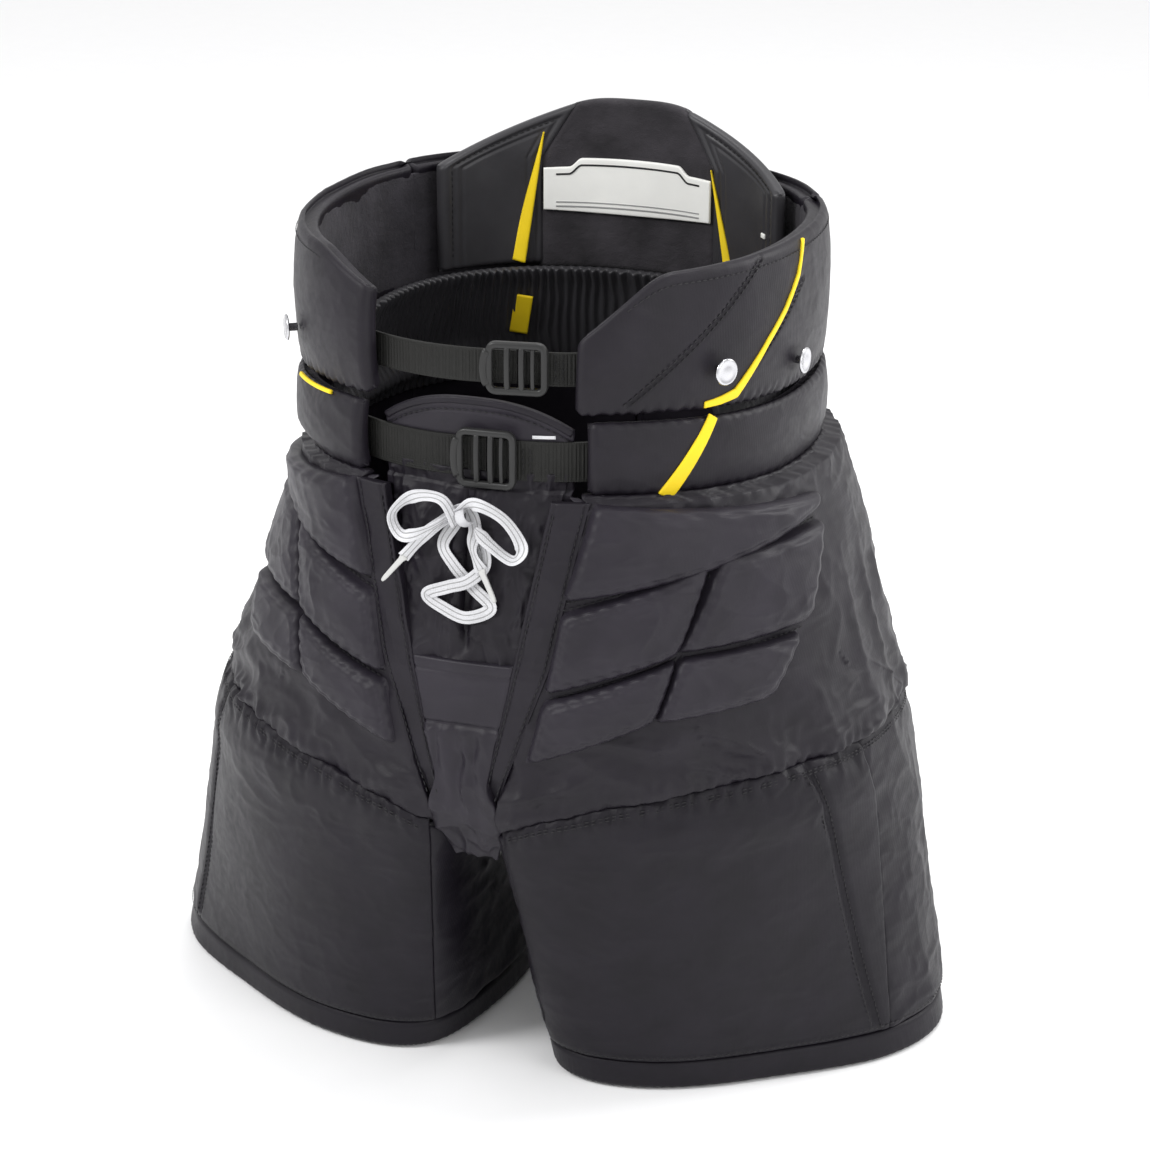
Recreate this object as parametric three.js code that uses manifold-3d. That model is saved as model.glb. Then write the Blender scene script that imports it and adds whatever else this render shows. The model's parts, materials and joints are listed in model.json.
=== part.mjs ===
// Ice-hockey goalkeeper pants, standing on their own hems, in millimetres.
// +Z is up, the fly faces -Y, and +X is the wearer's left.
// The origin is on the floor, midway between the legs and between the front and back of the waist.
import * as THREE from "three";
import { mergeVertices } from "three/addons/utils/BufferGeometryUtils.js";
import Module from "manifold-3d";

const wasm = await Module();
wasm.setup();

// ---- clearances ----
const GAP = 0.3; // between sewn neighbours
const LAYER_GAP = 1.1; // between layers that lie on each other round a curve, whose facets differ
const SEAM_DEG = 0.14; // angular gap between neighbours round the waist, about GAP at its radius

// ---- heights ----
const HIP_Z = 236; // hip axis, and the lower edge of the upper body
const CROTCH_Z = 202; // lower front edge of the crotch panel
const FLY_Z = 356; // bottom of the fly opening
const BELT_Z = 482; // lower edge of the belt at the front
const BELT_HEIGHT = 59;
const COLLAR_HEIGHT = 104;
const SPINE_RISE = 44; // spine pad above the collar
const WAIST_DIP = 14; // how much lower the belt sits at the sides and back

// ---- waist and hips ----
const WAIST_HALF_WIDTH = 197;
const WAIST_MID_Y = 24; // the widest point of the waist lies this far behind the origin
const WAIST_FRONT = 220; // from the widest point to the front
const WAIST_BACK = 192;
const HIP_HALF_WIDTH = 280;
const HIP_FRONT = 232;
const HIP_BACK = 188;
const HIP_PUFF = 0.15; // share of the hips' extra width that shows right under the belt
const ROUNDNESS = 2.2; // exponent of the waist oval, 2 being an ellipse

// ---- thicknesses ----
const SHELL = 12;
const BELT = 16;
const COLLAR = 18;
const RIB = 12; // how far a rib pad stands out
const RIB_EDGE = 5; // the same at its bevelled rim
const RIB_BEVEL = 0.09; // share of the pad that its bevel takes at each side
const LEG_SHELL = 10;
const HEM = 12;
const HEM_HEIGHT = 24;
const GUARD = 3; // plastic thigh guard
const WEBBING = 2;
const LINING = 4;

// ---- fly ----
const BAND = 26; // sewn band beside the fly
const BAND_AT_CROTCH = 8;
const FLY_RECESS = BELT + 2; // how far the top of the gusset lies behind the front
const CROTCH_HALF = 9; // half width of the saddle between the legs
const SADDLE_DIP = 12; // sag of the saddle between its ends

// ---- waist hardware ----
const UPPER_STRAP = { z: 574, height: 25, buckleX: 34 };
const LOWER_STRAP = { z: 506, height: 30, buckleX: 12 };
const STRAP_END_X = 118;
const BUCKLE = { width: 46, margin: 7, depth: 6, bar: 5, rim: 5 };
const STUD = { head: 20, thick: 3, shank: 6, stand: 6 };

// ---- hips that flex ----
const FLEX_DEG = 13; // room for a leg to swing forward
const EXTEND_DEG = 10; // and back
const HIP_TAB = 26; // radius of the side tab that turns in its notch

// ---- lace ----
const LACE = 4;
const AGLET = { length: 26, across: 5.2 };

const BACK_SEAM_DEG = 118; // where the side pieces meet the back pieces

const rad = THREE.MathUtils.degToRad;
const deg = THREE.MathUtils.radToDeg;
const lerp = THREE.MathUtils.lerp;
const clamp01 = (t) => Math.min(1, Math.max(0, t));
const smooth = THREE.MathUtils.smoothstep;
const V = (x, y, z) => new THREE.Vector3(x, y, z);

const COLLAR_Z = BELT_Z + BELT_HEIGHT + GAP;
const COLLAR_TOP = COLLAR_Z + COLLAR_HEIGHT;
const SPINE_TOP = COLLAR_TOP + SPINE_RISE;

// ---- materials ----
const paint = (color, roughness, metalness = 0) =>
  new THREE.MeshStandardMaterial({ color, roughness, metalness });
const LOOKS = {
  nylon: () => paint(0x3c3a3e, 0.62),
  pad: () => paint(0x403e42, 0.6),
  fleece: () => paint(0x232326, 0.95),
  smooth: () => paint(0x2b2b2e, 0.45),
  webbing: () => paint(0x2a2a28, 0.85),
  plastic: () => paint(0x3a3c3a, 0.4),
  guard: () => paint(0xd9d9d4, 0.45),
  lace: () => paint(0xf2f2f2, 0.8),
  badge: () => paint(0xe8e8e2, 0.5),
  chrome: () => paint(0xd0d0d4, 0.18, 1),
};

const root = new THREE.Group();
root.name = "goalkeeper_pants";

function add(name, geometry, look) {
  const mesh = new THREE.Mesh(geometry, LOOKS[look]());
  mesh.name = name;
  root.add(mesh);
  return mesh;
}

// ---- solids from surfaces ----

// A closed solid between two surfaces, each a function of s and t from 0 to 1.
// Seen from outside, s runs to the right-hand side when t runs up.
function slab(outer, inner, ns, nt, ring = false) {
  const columns = ring ? ns : ns + 1;
  const points = [];
  for (const face of [outer, inner]) {
    for (let j = 0; j <= nt; j++) {
      for (let i = 0; i < columns; i++) {
        const p = face(i / ns, j / nt);
        points.push(p.x, p.y, p.z);
      }
    }
  }
  const layer = columns * (nt + 1);
  const at = (k, i, j) => k * layer + j * columns + (i % columns);
  const index = [];
  const quad = (a, b, c, d) => index.push(a, b, c, a, c, d);
  for (let j = 0; j < nt; j++) {
    for (let i = 0; i < ns; i++) {
      quad(at(0, i, j), at(0, i + 1, j), at(0, i + 1, j + 1), at(0, i, j + 1));
      quad(at(1, i, j), at(1, i, j + 1), at(1, i + 1, j + 1), at(1, i + 1, j));
    }
  }
  for (let i = 0; i < ns; i++) {
    quad(at(1, i, 0), at(1, i + 1, 0), at(0, i + 1, 0), at(0, i, 0));
    quad(at(0, i, nt), at(0, i + 1, nt), at(1, i + 1, nt), at(1, i, nt));
  }
  if (!ring) {
    for (let j = 0; j < nt; j++) {
      quad(at(1, 0, j), at(0, 0, j), at(0, 0, j + 1), at(1, 0, j + 1));
      quad(at(0, ns, j), at(1, ns, j), at(1, ns, j + 1), at(0, ns, j + 1));
    }
  }
  const geometry = new THREE.BufferGeometry();
  geometry.setAttribute("position", new THREE.Float32BufferAttribute(points, 3));
  geometry.setIndex(index);
  return geometry;
}

function solid(geometry) {
  const bare = geometry.clone();
  bare.deleteAttribute("normal");
  bare.deleteAttribute("uv");
  const merged = mergeVertices(bare, 1e-4);
  return new wasm.Manifold(
    new wasm.Mesh({
      numProp: 3,
      vertProperties: merged.attributes.position.array,
      triVerts: new Uint32Array(merged.index.array),
    }),
  );
}

function geometryOf(manifold) {
  const mesh = manifold.getMesh();
  const geometry = new THREE.BufferGeometry();
  geometry.setAttribute("position", new THREE.BufferAttribute(mesh.vertProperties, 3));
  geometry.setIndex(new THREE.BufferAttribute(mesh.triVerts, 1));
  return geometry;
}

// A straight bar across the whole width whose section is drawn in Y and Z.
function acrossX(outline, halfWidth = 400) {
  const shape = new THREE.Shape(outline.map(([y, z]) => new THREE.Vector2(y, z)));
  const bar = new THREE.ExtrudeGeometry(shape, { depth: 2 * halfWidth, bevelEnabled: false });
  bar.applyMatrix4(
    new THREE.Matrix4().makeBasis(V(0, 1, 0), V(0, 0, 1), V(1, 0, 0)),
  );
  return bar.translate(-halfWidth, 0, 0);
}

function arcPoints(radius, fromDeg, toDeg, steps) {
  return Array.from({ length: steps + 1 }, (_, k) => {
    const a = rad(lerp(fromDeg, toDeg, k / steps));
    return [radius * Math.cos(a), HIP_Z + radius * Math.sin(a)];
  });
}

const mirrored = (geometry) => {
  const other = geometry.clone().scale(-1, 1, 1);
  const order = other.index.array;
  for (let i = 0; i < order.length; i += 3) {
    [order[i], order[i + 1]] = [order[i + 1], order[i]];
  }
  return other;
};

function pair(name, geometry, look) {
  add(name + "_left", geometry, look);
  add(name + "_right", mirrored(geometry), look);
}

// ---- the upper body's surface ----

const dip = (angleDeg) => WAIST_DIP * smooth(Math.abs(angleDeg), 20, 95);

// How far a height lies from the waist, 0, to the hips, 1; the hips puff out right under the belt.
function hipShare(z, angleDeg = 0) {
  const below = (BELT_Z - z - dip(angleDeg)) / (BELT_Z - HIP_Z);
  return below < GAP / 2 / (BELT_Z - HIP_Z) ? 0 : lerp(HIP_PUFF, 1, clamp01(below) ** 0.85);
}

// A point on the upper body, at an angle round from the front, 0, to the back, 180.
function torso(angleDeg, z, inset = 0) {
  const share = hipShare(z, Math.min(angleDeg, 360 - angleDeg));
  const a = rad(angleDeg);
  const front = lerp(WAIST_FRONT, HIP_FRONT, share);
  const back = lerp(WAIST_BACK, HIP_BACK, share);
  const halfWidth = lerp(WAIST_HALF_WIDTH, HIP_HALF_WIDTH, share) - inset;
  const depth = (Math.cos(a) > 0 ? front : back) - inset;
  const power = (c) => Math.sign(c) * Math.abs(c) ** (2 / ROUNDNESS);
  return V(halfWidth * power(Math.sin(a)), WAIST_MID_Y - depth * power(Math.cos(a)), z);
}

// The angle at which the front of the upper body is x from the mid plane.
function frontAngle(x, z, inset = 0) {
  const halfWidth = lerp(WAIST_HALF_WIDTH, HIP_HALF_WIDTH, hipShare(z)) - inset;
  return deg(Math.asin(clamp01(Math.abs(x) / halfWidth) ** (ROUNDNESS / 2))) * Math.sign(x);
}

const backAngle = (x, z, inset = 0) => 180 - frontAngle(x, z, inset);

// A piece of the upper body; place(s, t) gives its angle and height.
function panel(place, outerInset, innerInset, ns, nt) {
  const face = (insetAt) => (s, t) => {
    const [angle, z] = place(s, t);
    return torso(angle, z, typeof insetAt === "function" ? insetAt(s, t) : insetAt);
  };
  return slab(face(outerInset), face(innerInset), ns, nt);
}

// Half the distance between the two hip pieces across the front.
const hipEdge = (z) => {
  const atHip = 22;
  const atFly = 65;
  const atBelt = 90;
  return z < FLY_Z
    ? lerp(atHip, atFly, clamp01((z - HIP_Z) / (FLY_Z - HIP_Z)))
    : lerp(atFly, atBelt, (z - FLY_Z) / (BELT_Z - FLY_Z));
};
const bandWidth = (z) => lerp(BAND_AT_CROTCH, BAND, clamp01((z - HIP_Z) / (FLY_Z - HIP_Z)));
const flyEdge = (z) => hipEdge(z) - bandWidth(z);

// ---- hip and seat shells ----
const notch = solid(acrossX(arcPoints(HIP_TAB + GAP, 0, 360, 24).slice(0, -1)));

function hipShell() {
  const place = (s, t) => {
    const top = BELT_Z - 2 * GAP;
    const low = lerp(HIP_Z, top, t);
    const angle = lerp(frontAngle(hipEdge(low), low), BACK_SEAM_DEG - SEAM_DEG, s);
    const z = lerp(HIP_Z, top - dip(angle), t);
    return [angle, z];
  };
  return geometryOf(solid(panel(place, 0, SHELL, 16, 8)).subtract(notch));
}
pair("hip_shell", hipShell(), "nylon");

const seatPlace = (s, t) => {
  const angle = lerp(BACK_SEAM_DEG, 360 - BACK_SEAM_DEG, s);
  return [angle, lerp(HIP_Z, BELT_Z - GAP - WAIST_DIP, t)];
};
add("seat_shell", panel(seatPlace, 0, SHELL, 14, 6), "nylon");

// ---- rib pads on the hips ----
const RIB_GAP = HIP_HALF_WIDTH / 250; // under a pad, whose facets are longer than the hip's
// Each outline gives angle and height at the inner top, outer top, outer low and inner low corners.
const RIBS = {
  rib_top: [[24.5, 476], [77, 452], [76, 446], [17.5, 411]],
  rib_mid_inner: [[16.5, 398], [43.5, 423], [35, 370], [13.5, 343]],
  rib_mid_outer: [[47, 426], [75, 438], [65, 376], [37, 372]],
  rib_low_inner: [[12.6, 331], [34, 361], [29.5, 321], [10, 288]],
  rib_low_outer: [[36.2, 363], [61, 366], [52.5, 329], [31, 321]],
};

function rib([innerTop, outerTop, outerLow, innerLow]) {
  const corner = (k, s, t) =>
    lerp(lerp(innerLow[k], outerLow[k], s), lerp(innerTop[k], outerTop[k], s), t);
  const [columns, rows] = [7, 4];
  const rim = (u) => u < 0.01 || u > 0.99;
  const bevel = (u, n) => (rim(u) ? u : lerp(RIB_BEVEL, 1 - RIB_BEVEL, (u * n - 1) / (n - 2)));
  const place = (s, t) => [0, 1].map((k) => corner(k, bevel(s, columns), bevel(t, rows)));
  const stand = (s, t) => (rim(s) || rim(t) ? -RIB_EDGE : -RIB);
  return panel(place, stand, -RIB_GAP, columns, rows);
}
for (const [name, corners] of Object.entries(RIBS)) pair(name, rib(corners), "pad");

// ---- fly, crotch and tongue ----
const acrossPlace = (edge, lowZ, highZ) => (s, t) => {
  const z = lerp(lowZ, highZ, t);
  const x = lerp(-edge(z), edge(z), s);
  return [frontAngle(x, z), z];
};

const flyBandPlace = (s, t) => {
  const z = lerp(HIP_Z, BELT_Z - GAP, t);
  return [frontAngle(lerp(flyEdge(z), hipEdge(z) - LAYER_GAP, s), z), z];
};
pair("fly_band", panel(flyBandPlace, 0, SHELL - 2, 2, 8), "nylon");

const GUSSET_TOP = BELT_Z - 2;
const gussetInset = (s, t) => lerp(2, FLY_RECESS, t);
add(
  "fly_gusset",
  panel(
    acrossPlace((z) => flyEdge(z) - FLY_RECESS / 2 * ((z - FLY_Z) / (BELT_Z - FLY_Z)) - GAP,
      FLY_Z + GAP, GUSSET_TOP),
    gussetInset,
    (s, t) => gussetInset(s, t) + LINING,
    6,
    5,
  ),
  "nylon",
);

// The crotch panel leaves the front and turns under, to the saddle between the legs.
const CROTCH_BACK = 70; // how far its lower edge lies behind the front
const crotchInset = (s, t) => lerp(CROTCH_BACK, 0, smooth(t, -0.25, 0.62));
add(
  "crotch_panel",
  panel(
    acrossPlace((z) => Math.max(flyEdge(z) - GAP, CROTCH_HALF), CROTCH_Z, FLY_Z),
    crotchInset,
    (s, t) => crotchInset(s, t) + SHELL - 4,
    4,
    8,
  ),
  "nylon",
);

// The saddle runs back between the legs and up to the seat.
function saddle() {
  const frontEdge = torso(0, CROTCH_Z, crotchInset(0, 0)).y;
  const backEdge = torso(180, HIP_Z, SHELL / 2).y;
  const face = (drop) => (s, t) => {
    const line = lerp(CROTCH_Z - GAP, HIP_Z - GAP, t ** 2);
    const z = line - SADDLE_DIP * Math.sin(Math.PI * t) - drop;
    return V(lerp(-CROTCH_HALF, CROTCH_HALF, s), lerp(frontEdge, backEdge, t), z);
  };
  return slab(face(0), face(LINING), 2, 14);
}
add("crotch_saddle", saddle(), "nylon");

const TONGUE = { half: 72, top: 548, shoulder: 22, low: GUSSET_TOP + GAP };
const tongueInset = FLY_RECESS + 3;
const tonguePlace = (s, t) => {
  const arch = TONGUE.top - TONGUE.shoulder * Math.abs(2 * s - 1) ** 2.5;
  const z = lerp(TONGUE.low, arch, t);
  return [frontAngle(lerp(-TONGUE.half, TONGUE.half, s), z, tongueInset), z];
};
add("tongue", panel(tonguePlace, tongueInset, tongueInset + LINING, 8, 4), "nylon");

// ---- belt and collar ----
const BELT_END_X = 88;
const COLLAR_END_X = 80;
const COLLAR_CUT = 56; // how far the front corner of the collar is cut down
const COLLAR_CUT_DEG = 20; // and how far round

const beltPlace = (fromDeg, toDeg) => (s, t) => {
  const angle = lerp(fromDeg, toDeg, s);
  return [angle, BELT_Z - dip(angle) + BELT_HEIGHT * t];
};
const padded = (depth, swell) => (s, t) => depth - swell * Math.sin(Math.PI * t) ** 0.6;
const beltFront = frontAngle(BELT_END_X, BELT_Z);
const beltSide = beltPlace(beltFront, BACK_SEAM_DEG - SEAM_DEG);
const beltBack = beltPlace(BACK_SEAM_DEG, 360 - BACK_SEAM_DEG);
const swell = padded(3, 3);
pair("belt", panel(beltSide, swell, BELT, 10, 4), "nylon");
add("belt_back", panel(beltBack, swell, BELT, 14, 4), "nylon");

const collarFront = frontAngle(COLLAR_END_X, COLLAR_Z);
const collarPlace = (fromDeg, toDeg) => (s, t) => {
  const angle = lerp(fromDeg, toDeg, s);
  const low = COLLAR_Z - dip(angle);
  const cut = COLLAR_CUT * (1 - clamp01((angle - collarFront) / COLLAR_CUT_DEG));
  return [angle, lerp(low, COLLAR_TOP - cut, t)];
};
const collarSide = collarPlace(collarFront, BACK_SEAM_DEG - SEAM_DEG);
const collarBack = collarPlace(BACK_SEAM_DEG, 360 - BACK_SEAM_DEG);
const collarSwell = padded(5, 5);
pair("collar", panel(collarSide, collarSwell, COLLAR, 12, 5), "nylon");
add("collar_back", panel(collarBack, collarSwell, COLLAR, 14, 5), "nylon");

// ---- gathered inner belt ----
const INNER_LOW = BELT_Z + 8;
const INNER_HEIGHT = 70;
const INNER_LEAN = 28; // how much further in its top edge stands
const INNER_FRONT_DEG = 62;
const innerInset = (s, t) => BELT + LAYER_GAP + INNER_LEAN * t;
const innerPlace = (s, t) => {
  const angle = lerp(INNER_FRONT_DEG, 180 - SEAM_DEG, s);
  return [angle, INNER_LOW - dip(angle) + INNER_HEIGHT * t];
};
pair("inner_belt", panel(innerPlace, innerInset, (s, t) => innerInset(s, t) + LINING, 12, 3), "smooth");

// ---- spine pad ----
const SPINE_Z = COLLAR_Z + 8;
const SPINE = { half: 74, topHalf: 44, wing: 138, wingTop: COLLAR_TOP - 14, pad: 12 };
const BADGE = { half: 70, low: 592, high: 640, thick: 3 };
const plateInset = COLLAR + LAYER_GAP;
const coreInset = plateInset + GUARD + LAYER_GAP;
const badgeInset = coreInset + SPINE.pad + GAP;

const spineEdge = (z) => {
  const shoulder = COLLAR_TOP - 4;
  return z < shoulder
    ? SPINE.half
    : lerp(SPINE.half, SPINE.topHalf, (z - shoulder) / (SPINE_TOP - shoulder));
};
// Angles over the back run from the wearer's left to the right, so x falls as s rises.
const spinePlace = (lowZ, highZ, narrower) => (s, t) => {
  const z = lerp(lowZ, highZ, t);
  const half = spineEdge(z) - narrower;
  return [backAngle(lerp(half, -half, s), z, coreInset), z];
};

add(
  "spine_plate",
  panel(spinePlace(SPINE_Z + 6, SPINE_TOP - 10, 8), plateInset, plateInset + GUARD, 6, 4),
  "plastic",
);
add(
  "spine_pad",
  panel(spinePlace(SPINE_Z, SPINE_TOP, 0), coreInset, coreInset + SPINE.pad, 6, 6),
  "fleece",
);
const badgePlace = (s, t) => {
  const z = lerp(BADGE.low, BADGE.high, t);
  return [backAngle(lerp(BADGE.half, -BADGE.half, s), z, badgeInset), z];
};
add("spine_badge", panel(badgePlace, badgeInset, badgeInset + BADGE.thick, 6, 1), "badge");

const wingPlace = (s, t) => {
  const inner = SPINE.half + GAP;
  const x = lerp(SPINE.wing, inner, s);
  const top = lerp(SPINE.wingTop - 10, COLLAR_TOP - 6, s);
  const z = lerp(SPINE_Z + 4, top, t);
  return [backAngle(x, z, coreInset), z];
};
pair("spine_wing", panel(wingPlace, coreInset, coreInset + SPINE.pad - 2, 4, 4), "smooth");

// ---- straps and buckles ----
function strapPanel({ z, height }, fromX, toX, inset) {
  const place = (s, t) => {
    const level = z + (t - 0.5) * height;
    return [frontAngle(lerp(fromX, toX, s), level, inset), level];
  };
  return panel(place, inset, inset + WEBBING, 10, 1);
}

// A frame with one bar, bent to the line of the strap.
function buckle({ z, height, buckleX }, inset) {
  const { width, margin, depth, bar, rim } = BUCKLE;
  const halfHeight = height / 2 + margin;
  const plate = (x0, x1, z0, z1) => new THREE.BoxGeometry(x1 - x0, depth, z1 - z0)
    .translate((x0 + x1) / 2, 0, (z0 + z1) / 2);
  const half = width / 2;
  let body = solid(plate(-half, half, -halfHeight, halfHeight));
  const slot = (half * 2 - 2 * rim - bar) / 2;
  for (const start of [-half + rim, bar / 2]) {
    body = body.subtract(
      solid(plate(start, start + slot, -halfHeight + rim, halfHeight - rim).scale(1, 2, 1)),
    );
  }
  const seat = torso(frontAngle(buckleX, z, inset), z, inset);
  const ahead = torso(frontAngle(buckleX + 1, z, inset), z, inset);
  const turn = Math.atan2(ahead.y - seat.y, ahead.x - seat.x);
  return geometryOf(body).rotateZ(turn).translate(seat.x, seat.y - depth / 2, z);
}

const straps = { upper: UPPER_STRAP, lower: LOWER_STRAP };
for (const [level, strap] of Object.entries(straps)) {
  const inset = (level === "upper" ? COLLAR : BELT) + LAYER_GAP;
  const meet = strap.buckleX;
  add("strap_" + level + "_right", strapPanel(strap, -STRAP_END_X, meet - GAP, inset), "webbing");
  add("strap_" + level + "_left", strapPanel(strap, meet, STRAP_END_X, inset), "webbing");
  add("buckle_" + level, buckle(strap, inset - 2 * GAP), "plastic");
}

// ---- suspender studs ----
// Each stud stands on the collar at an angle round the waist and a height.
const STUDS = { stud_front: { angle: 53.8, z: 568 }, stud_side: { angle: 80.6, z: 552 } };

function stud({ angle, z }) {
  const t = (z - COLLAR_Z) / (COLLAR_TOP - COLLAR_Z);
  const skin = collarSwell(0, t);
  const seat = torso(angle, z, skin);
  const out = torso(angle, z, skin - 1).sub(seat);
  const flat = torso(angle + 1, z, skin).sub(torso(angle - 1, z, skin)).normalize();
  const normal = V(flat.y, -flat.x, 0);
  if (normal.dot(out) < 0) normal.negate();
  const shank = new THREE.CylinderGeometry(STUD.shank / 2, STUD.shank / 2, STUD.stand + 1, 12)
    .translate(0, (STUD.stand + 1) / 2, 0);
  const head = new THREE.CylinderGeometry(STUD.head / 2 - 1, STUD.head / 2, STUD.thick, 20)
    .translate(0, STUD.stand + STUD.thick / 2, 0);
  const whole = geometryOf(solid(shank).add(solid(head)));
  whole.applyQuaternion(new THREE.Quaternion().setFromUnitVectors(V(0, 1, 0), normal));
  const foot = seat.addScaledVector(normal, 3 * GAP);
  return whole.translate(foot.x, foot.y, foot.z);
}
for (const [name, place] of Object.entries(STUDS)) pair(name, stud(place), "chrome");

// ---- legs ----
// Outlines of the left leg, from the inner front corner round the outside and back.
const LEG_TOP = [[26, -204], [96, -200], [176, -166], [234, -112], [270, -40], [278, 40],
  [248, 122], [182, 176], [96, 204], [26, 208], [16, 90], [16, -90]];
const LEG_HEM = [[50, -138], [80, -156], [140, -148], [222, -98], [292, -38], [316, 24],
  [296, 88], [220, 126], [120, 136], [46, 106], [26, 40], [28, -60]];
const LEG_SEAMS = { front: 0.985, side: 0.33, rear: 0.545, inner: 0.775 };
const SEAM_SHARE = 0.0003; // gap between leg panels, as a share of the outline

const closed = (outline) =>
  new THREE.CatmullRomCurve3(outline.map(([x, y]) => V(x, y, 0)), true, "centripetal");
const topCurve = closed(LEG_TOP);
const hemCurve = closed(LEG_HEM);

function leg(u, z, inset = 0) {
  const turn = ((u % 1) + 1) % 1;
  const share = clamp01(z / HIP_Z);
  const along = (curve) => curve.getPoint(turn);
  const p = along(hemCurve).lerp(along(topCurve), share);
  const tangent = hemCurve.getTangent(turn).lerp(topCurve.getTangent(turn), share).normalize();
  return V(p.x - tangent.y * inset, p.y + tangent.x * inset, z);
}

// Everything of a leg lies under this line: it falls away from the hip axis to front and back.
const reach = 400;
const legRoom = solid(acrossX([
  [-reach, HIP_Z - reach * Math.tan(rad(FLEX_DEG))],
  [-reach, -1],
  [reach, -1],
  [reach, HIP_Z - reach * Math.tan(rad(EXTEND_DEG))],
  ...arcPoints(HIP_TAB, -EXTEND_DEG, 180 + FLEX_DEG, 16),
]));

const LEG_BUILD_TOP = HIP_Z + HIP_TAB + 2;
function legPanel(fromU, toU, ns, top = LEG_BUILD_TOP) {
  const face = (inset) => (s, t) => {
    const u = lerp(fromU, toU - SEAM_SHARE, s);
    return leg(u, lerp(HEM_HEIGHT + GAP, top, t), inset);
  };
  const whole = solid(slab(face(0), face(LEG_SHELL), ns, 5));
  return geometryOf(whole.intersect(legRoom));
}
const { front, side, rear, inner } = LEG_SEAMS;
pair("leg_front", legPanel(front - 1, side, 10), "nylon");
pair("leg_side", legPanel(side, rear, 6), "nylon");
pair("leg_rear", legPanel(rear, inner, 8), "nylon");
pair("leg_inner", legPanel(inner, front, 6, CROTCH_Z - SADDLE_DIP), "nylon");

// ---- hems and thigh guards ----
const hemFace = (inset) => (s, t) => leg(s, HEM_HEIGHT * t, inset);
pair("leg_hem", slab(hemFace(0), hemFace(HEM), 40, 1, true), "nylon");

const GUARD_LOW = 42;
const GUARD_HIGH = 146;
const guardFace = (inset) => (s, t) => {
  return leg(lerp(0.03, side - 0.05, s), lerp(GUARD_LOW, GUARD_HIGH, t), inset);
};
const guardInset = LEG_SHELL + LAYER_GAP + GAP;
pair("thigh_guard", slab(guardFace(guardInset), guardFace(guardInset + GUARD), 8, 3), "guard");

// ---- lace ----
// One flat lace, drawn round: the crossed part that the fly holds, the tails and the bow.
const faceOf = (z) => torso(0, z, gussetInset(0, clamp01((z - FLY_Z) / (GUSSET_TOP - FLY_Z)))).y;
const onFly = (lift) => ([x, z]) => V(x, faceOf(z) - LACE / 2 - GAP - lift, z);

function cord(points, sides = 8) {
  const path = new THREE.CatmullRomCurve3(points, false, "centripetal");
  const steps = Math.ceil(path.getLength() / (2.2 * LACE));
  const round = new THREE.Shape().absarc(0, 0, LACE / 2, 0, 2 * Math.PI);
  const outline = new THREE.Shape(round.getSpacedPoints(sides).slice(0, -1));
  return new THREE.ExtrudeGeometry(outline, { steps, extrudePath: path, bevelEnabled: false });
}

const LAYER = LACE + 2 * GAP; // one strand in front of another
const under = [[-9, 458], [-18, 440], [-9, 427], [7, 411], [20, 396]].map(onFly(0));
const bar = [[2, 391], [-14, 396]].map(onFly(0));
const over = [[-25, 405], [-10, 411], [4, 417], [15, 430], [12, 448], [7, 458]].map(onFly(LAYER));
add("lace_crossing", cord([...under, ...bar, ...over]), "lace");

const KNOT_Y = faceOf(470) - (2 * LAYER + 1.4);
const inFront = (layer) => ([x, z]) => V(x, KNOT_Y - layer * LAYER, z);
const tailLeft = [[[-46, 431], 2], [[-30, 449], 1], [[-10, 465], 0]].map(([p, k]) => inFront(k)(p));
const tailRight = [[[1, 471], 0], [[8, 458], 0.6], [[8, 443], 1.7], [[15, 427], 1.8]]
  .map(([p, k]) => inFront(k)(p));
add("lace_tails", cord([...tailLeft, ...tailRight]), "lace");

const bowLeft = [[-3, 461], [-15, 479], [-38, 478], [-54, 463], [-46, 448], [-25, 456]];
const bowRight = [[12, 479], [34, 470], [47, 451], [40, 440], [23, 450], [12, 461]];
const bow = [...bowLeft.map(inFront(2.2)), inFront(1)([-5, 469]), ...bowRight.map(inFront(2.8))];
add("lace_bow", cord(bow), "lace");

function aglet(end, before) {
  const along = end.clone().sub(before).normalize();
  const tube = new THREE.CylinderGeometry(AGLET.across / 2, AGLET.across / 2, AGLET.length, 10)
    .translate(0, AGLET.length / 2 + GAP, 0)
    .applyQuaternion(new THREE.Quaternion().setFromUnitVectors(V(0, 1, 0), along));
  return tube.translate(end.x, end.y, end.z);
}
add("aglet_left", aglet(tailRight.at(-1), tailRight.at(-2)), "plastic");
add("aglet_right", aglet(tailLeft[0], tailLeft[1]), "plastic");

// The origin lies midway between the foremost and rearmost points of everything but the lace.
const body = new THREE.Box3();
for (const piece of root.children) {
  if (!/^(lace|aglet)/.test(piece.name)) body.expandByObject(piece);
}
root.position.y = -(body.min.y + body.max.y) / 2;

export default root;
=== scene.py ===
"""Looks of a pair of ice-hockey goalkeeper pants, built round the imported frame.

Shapes are worked out in millimetres and turned into metres when a mesh is made. +Z is up, the fly
faces -Y and +X is the wearer's left. Angles run round the waist from the front, 0, over the
wearer's left, 90, to the back, 180.
"""

import json
import logging
import math
from dataclasses import dataclass, field
from enum import Enum
from typing import Callable, Iterable, Sequence

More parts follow.
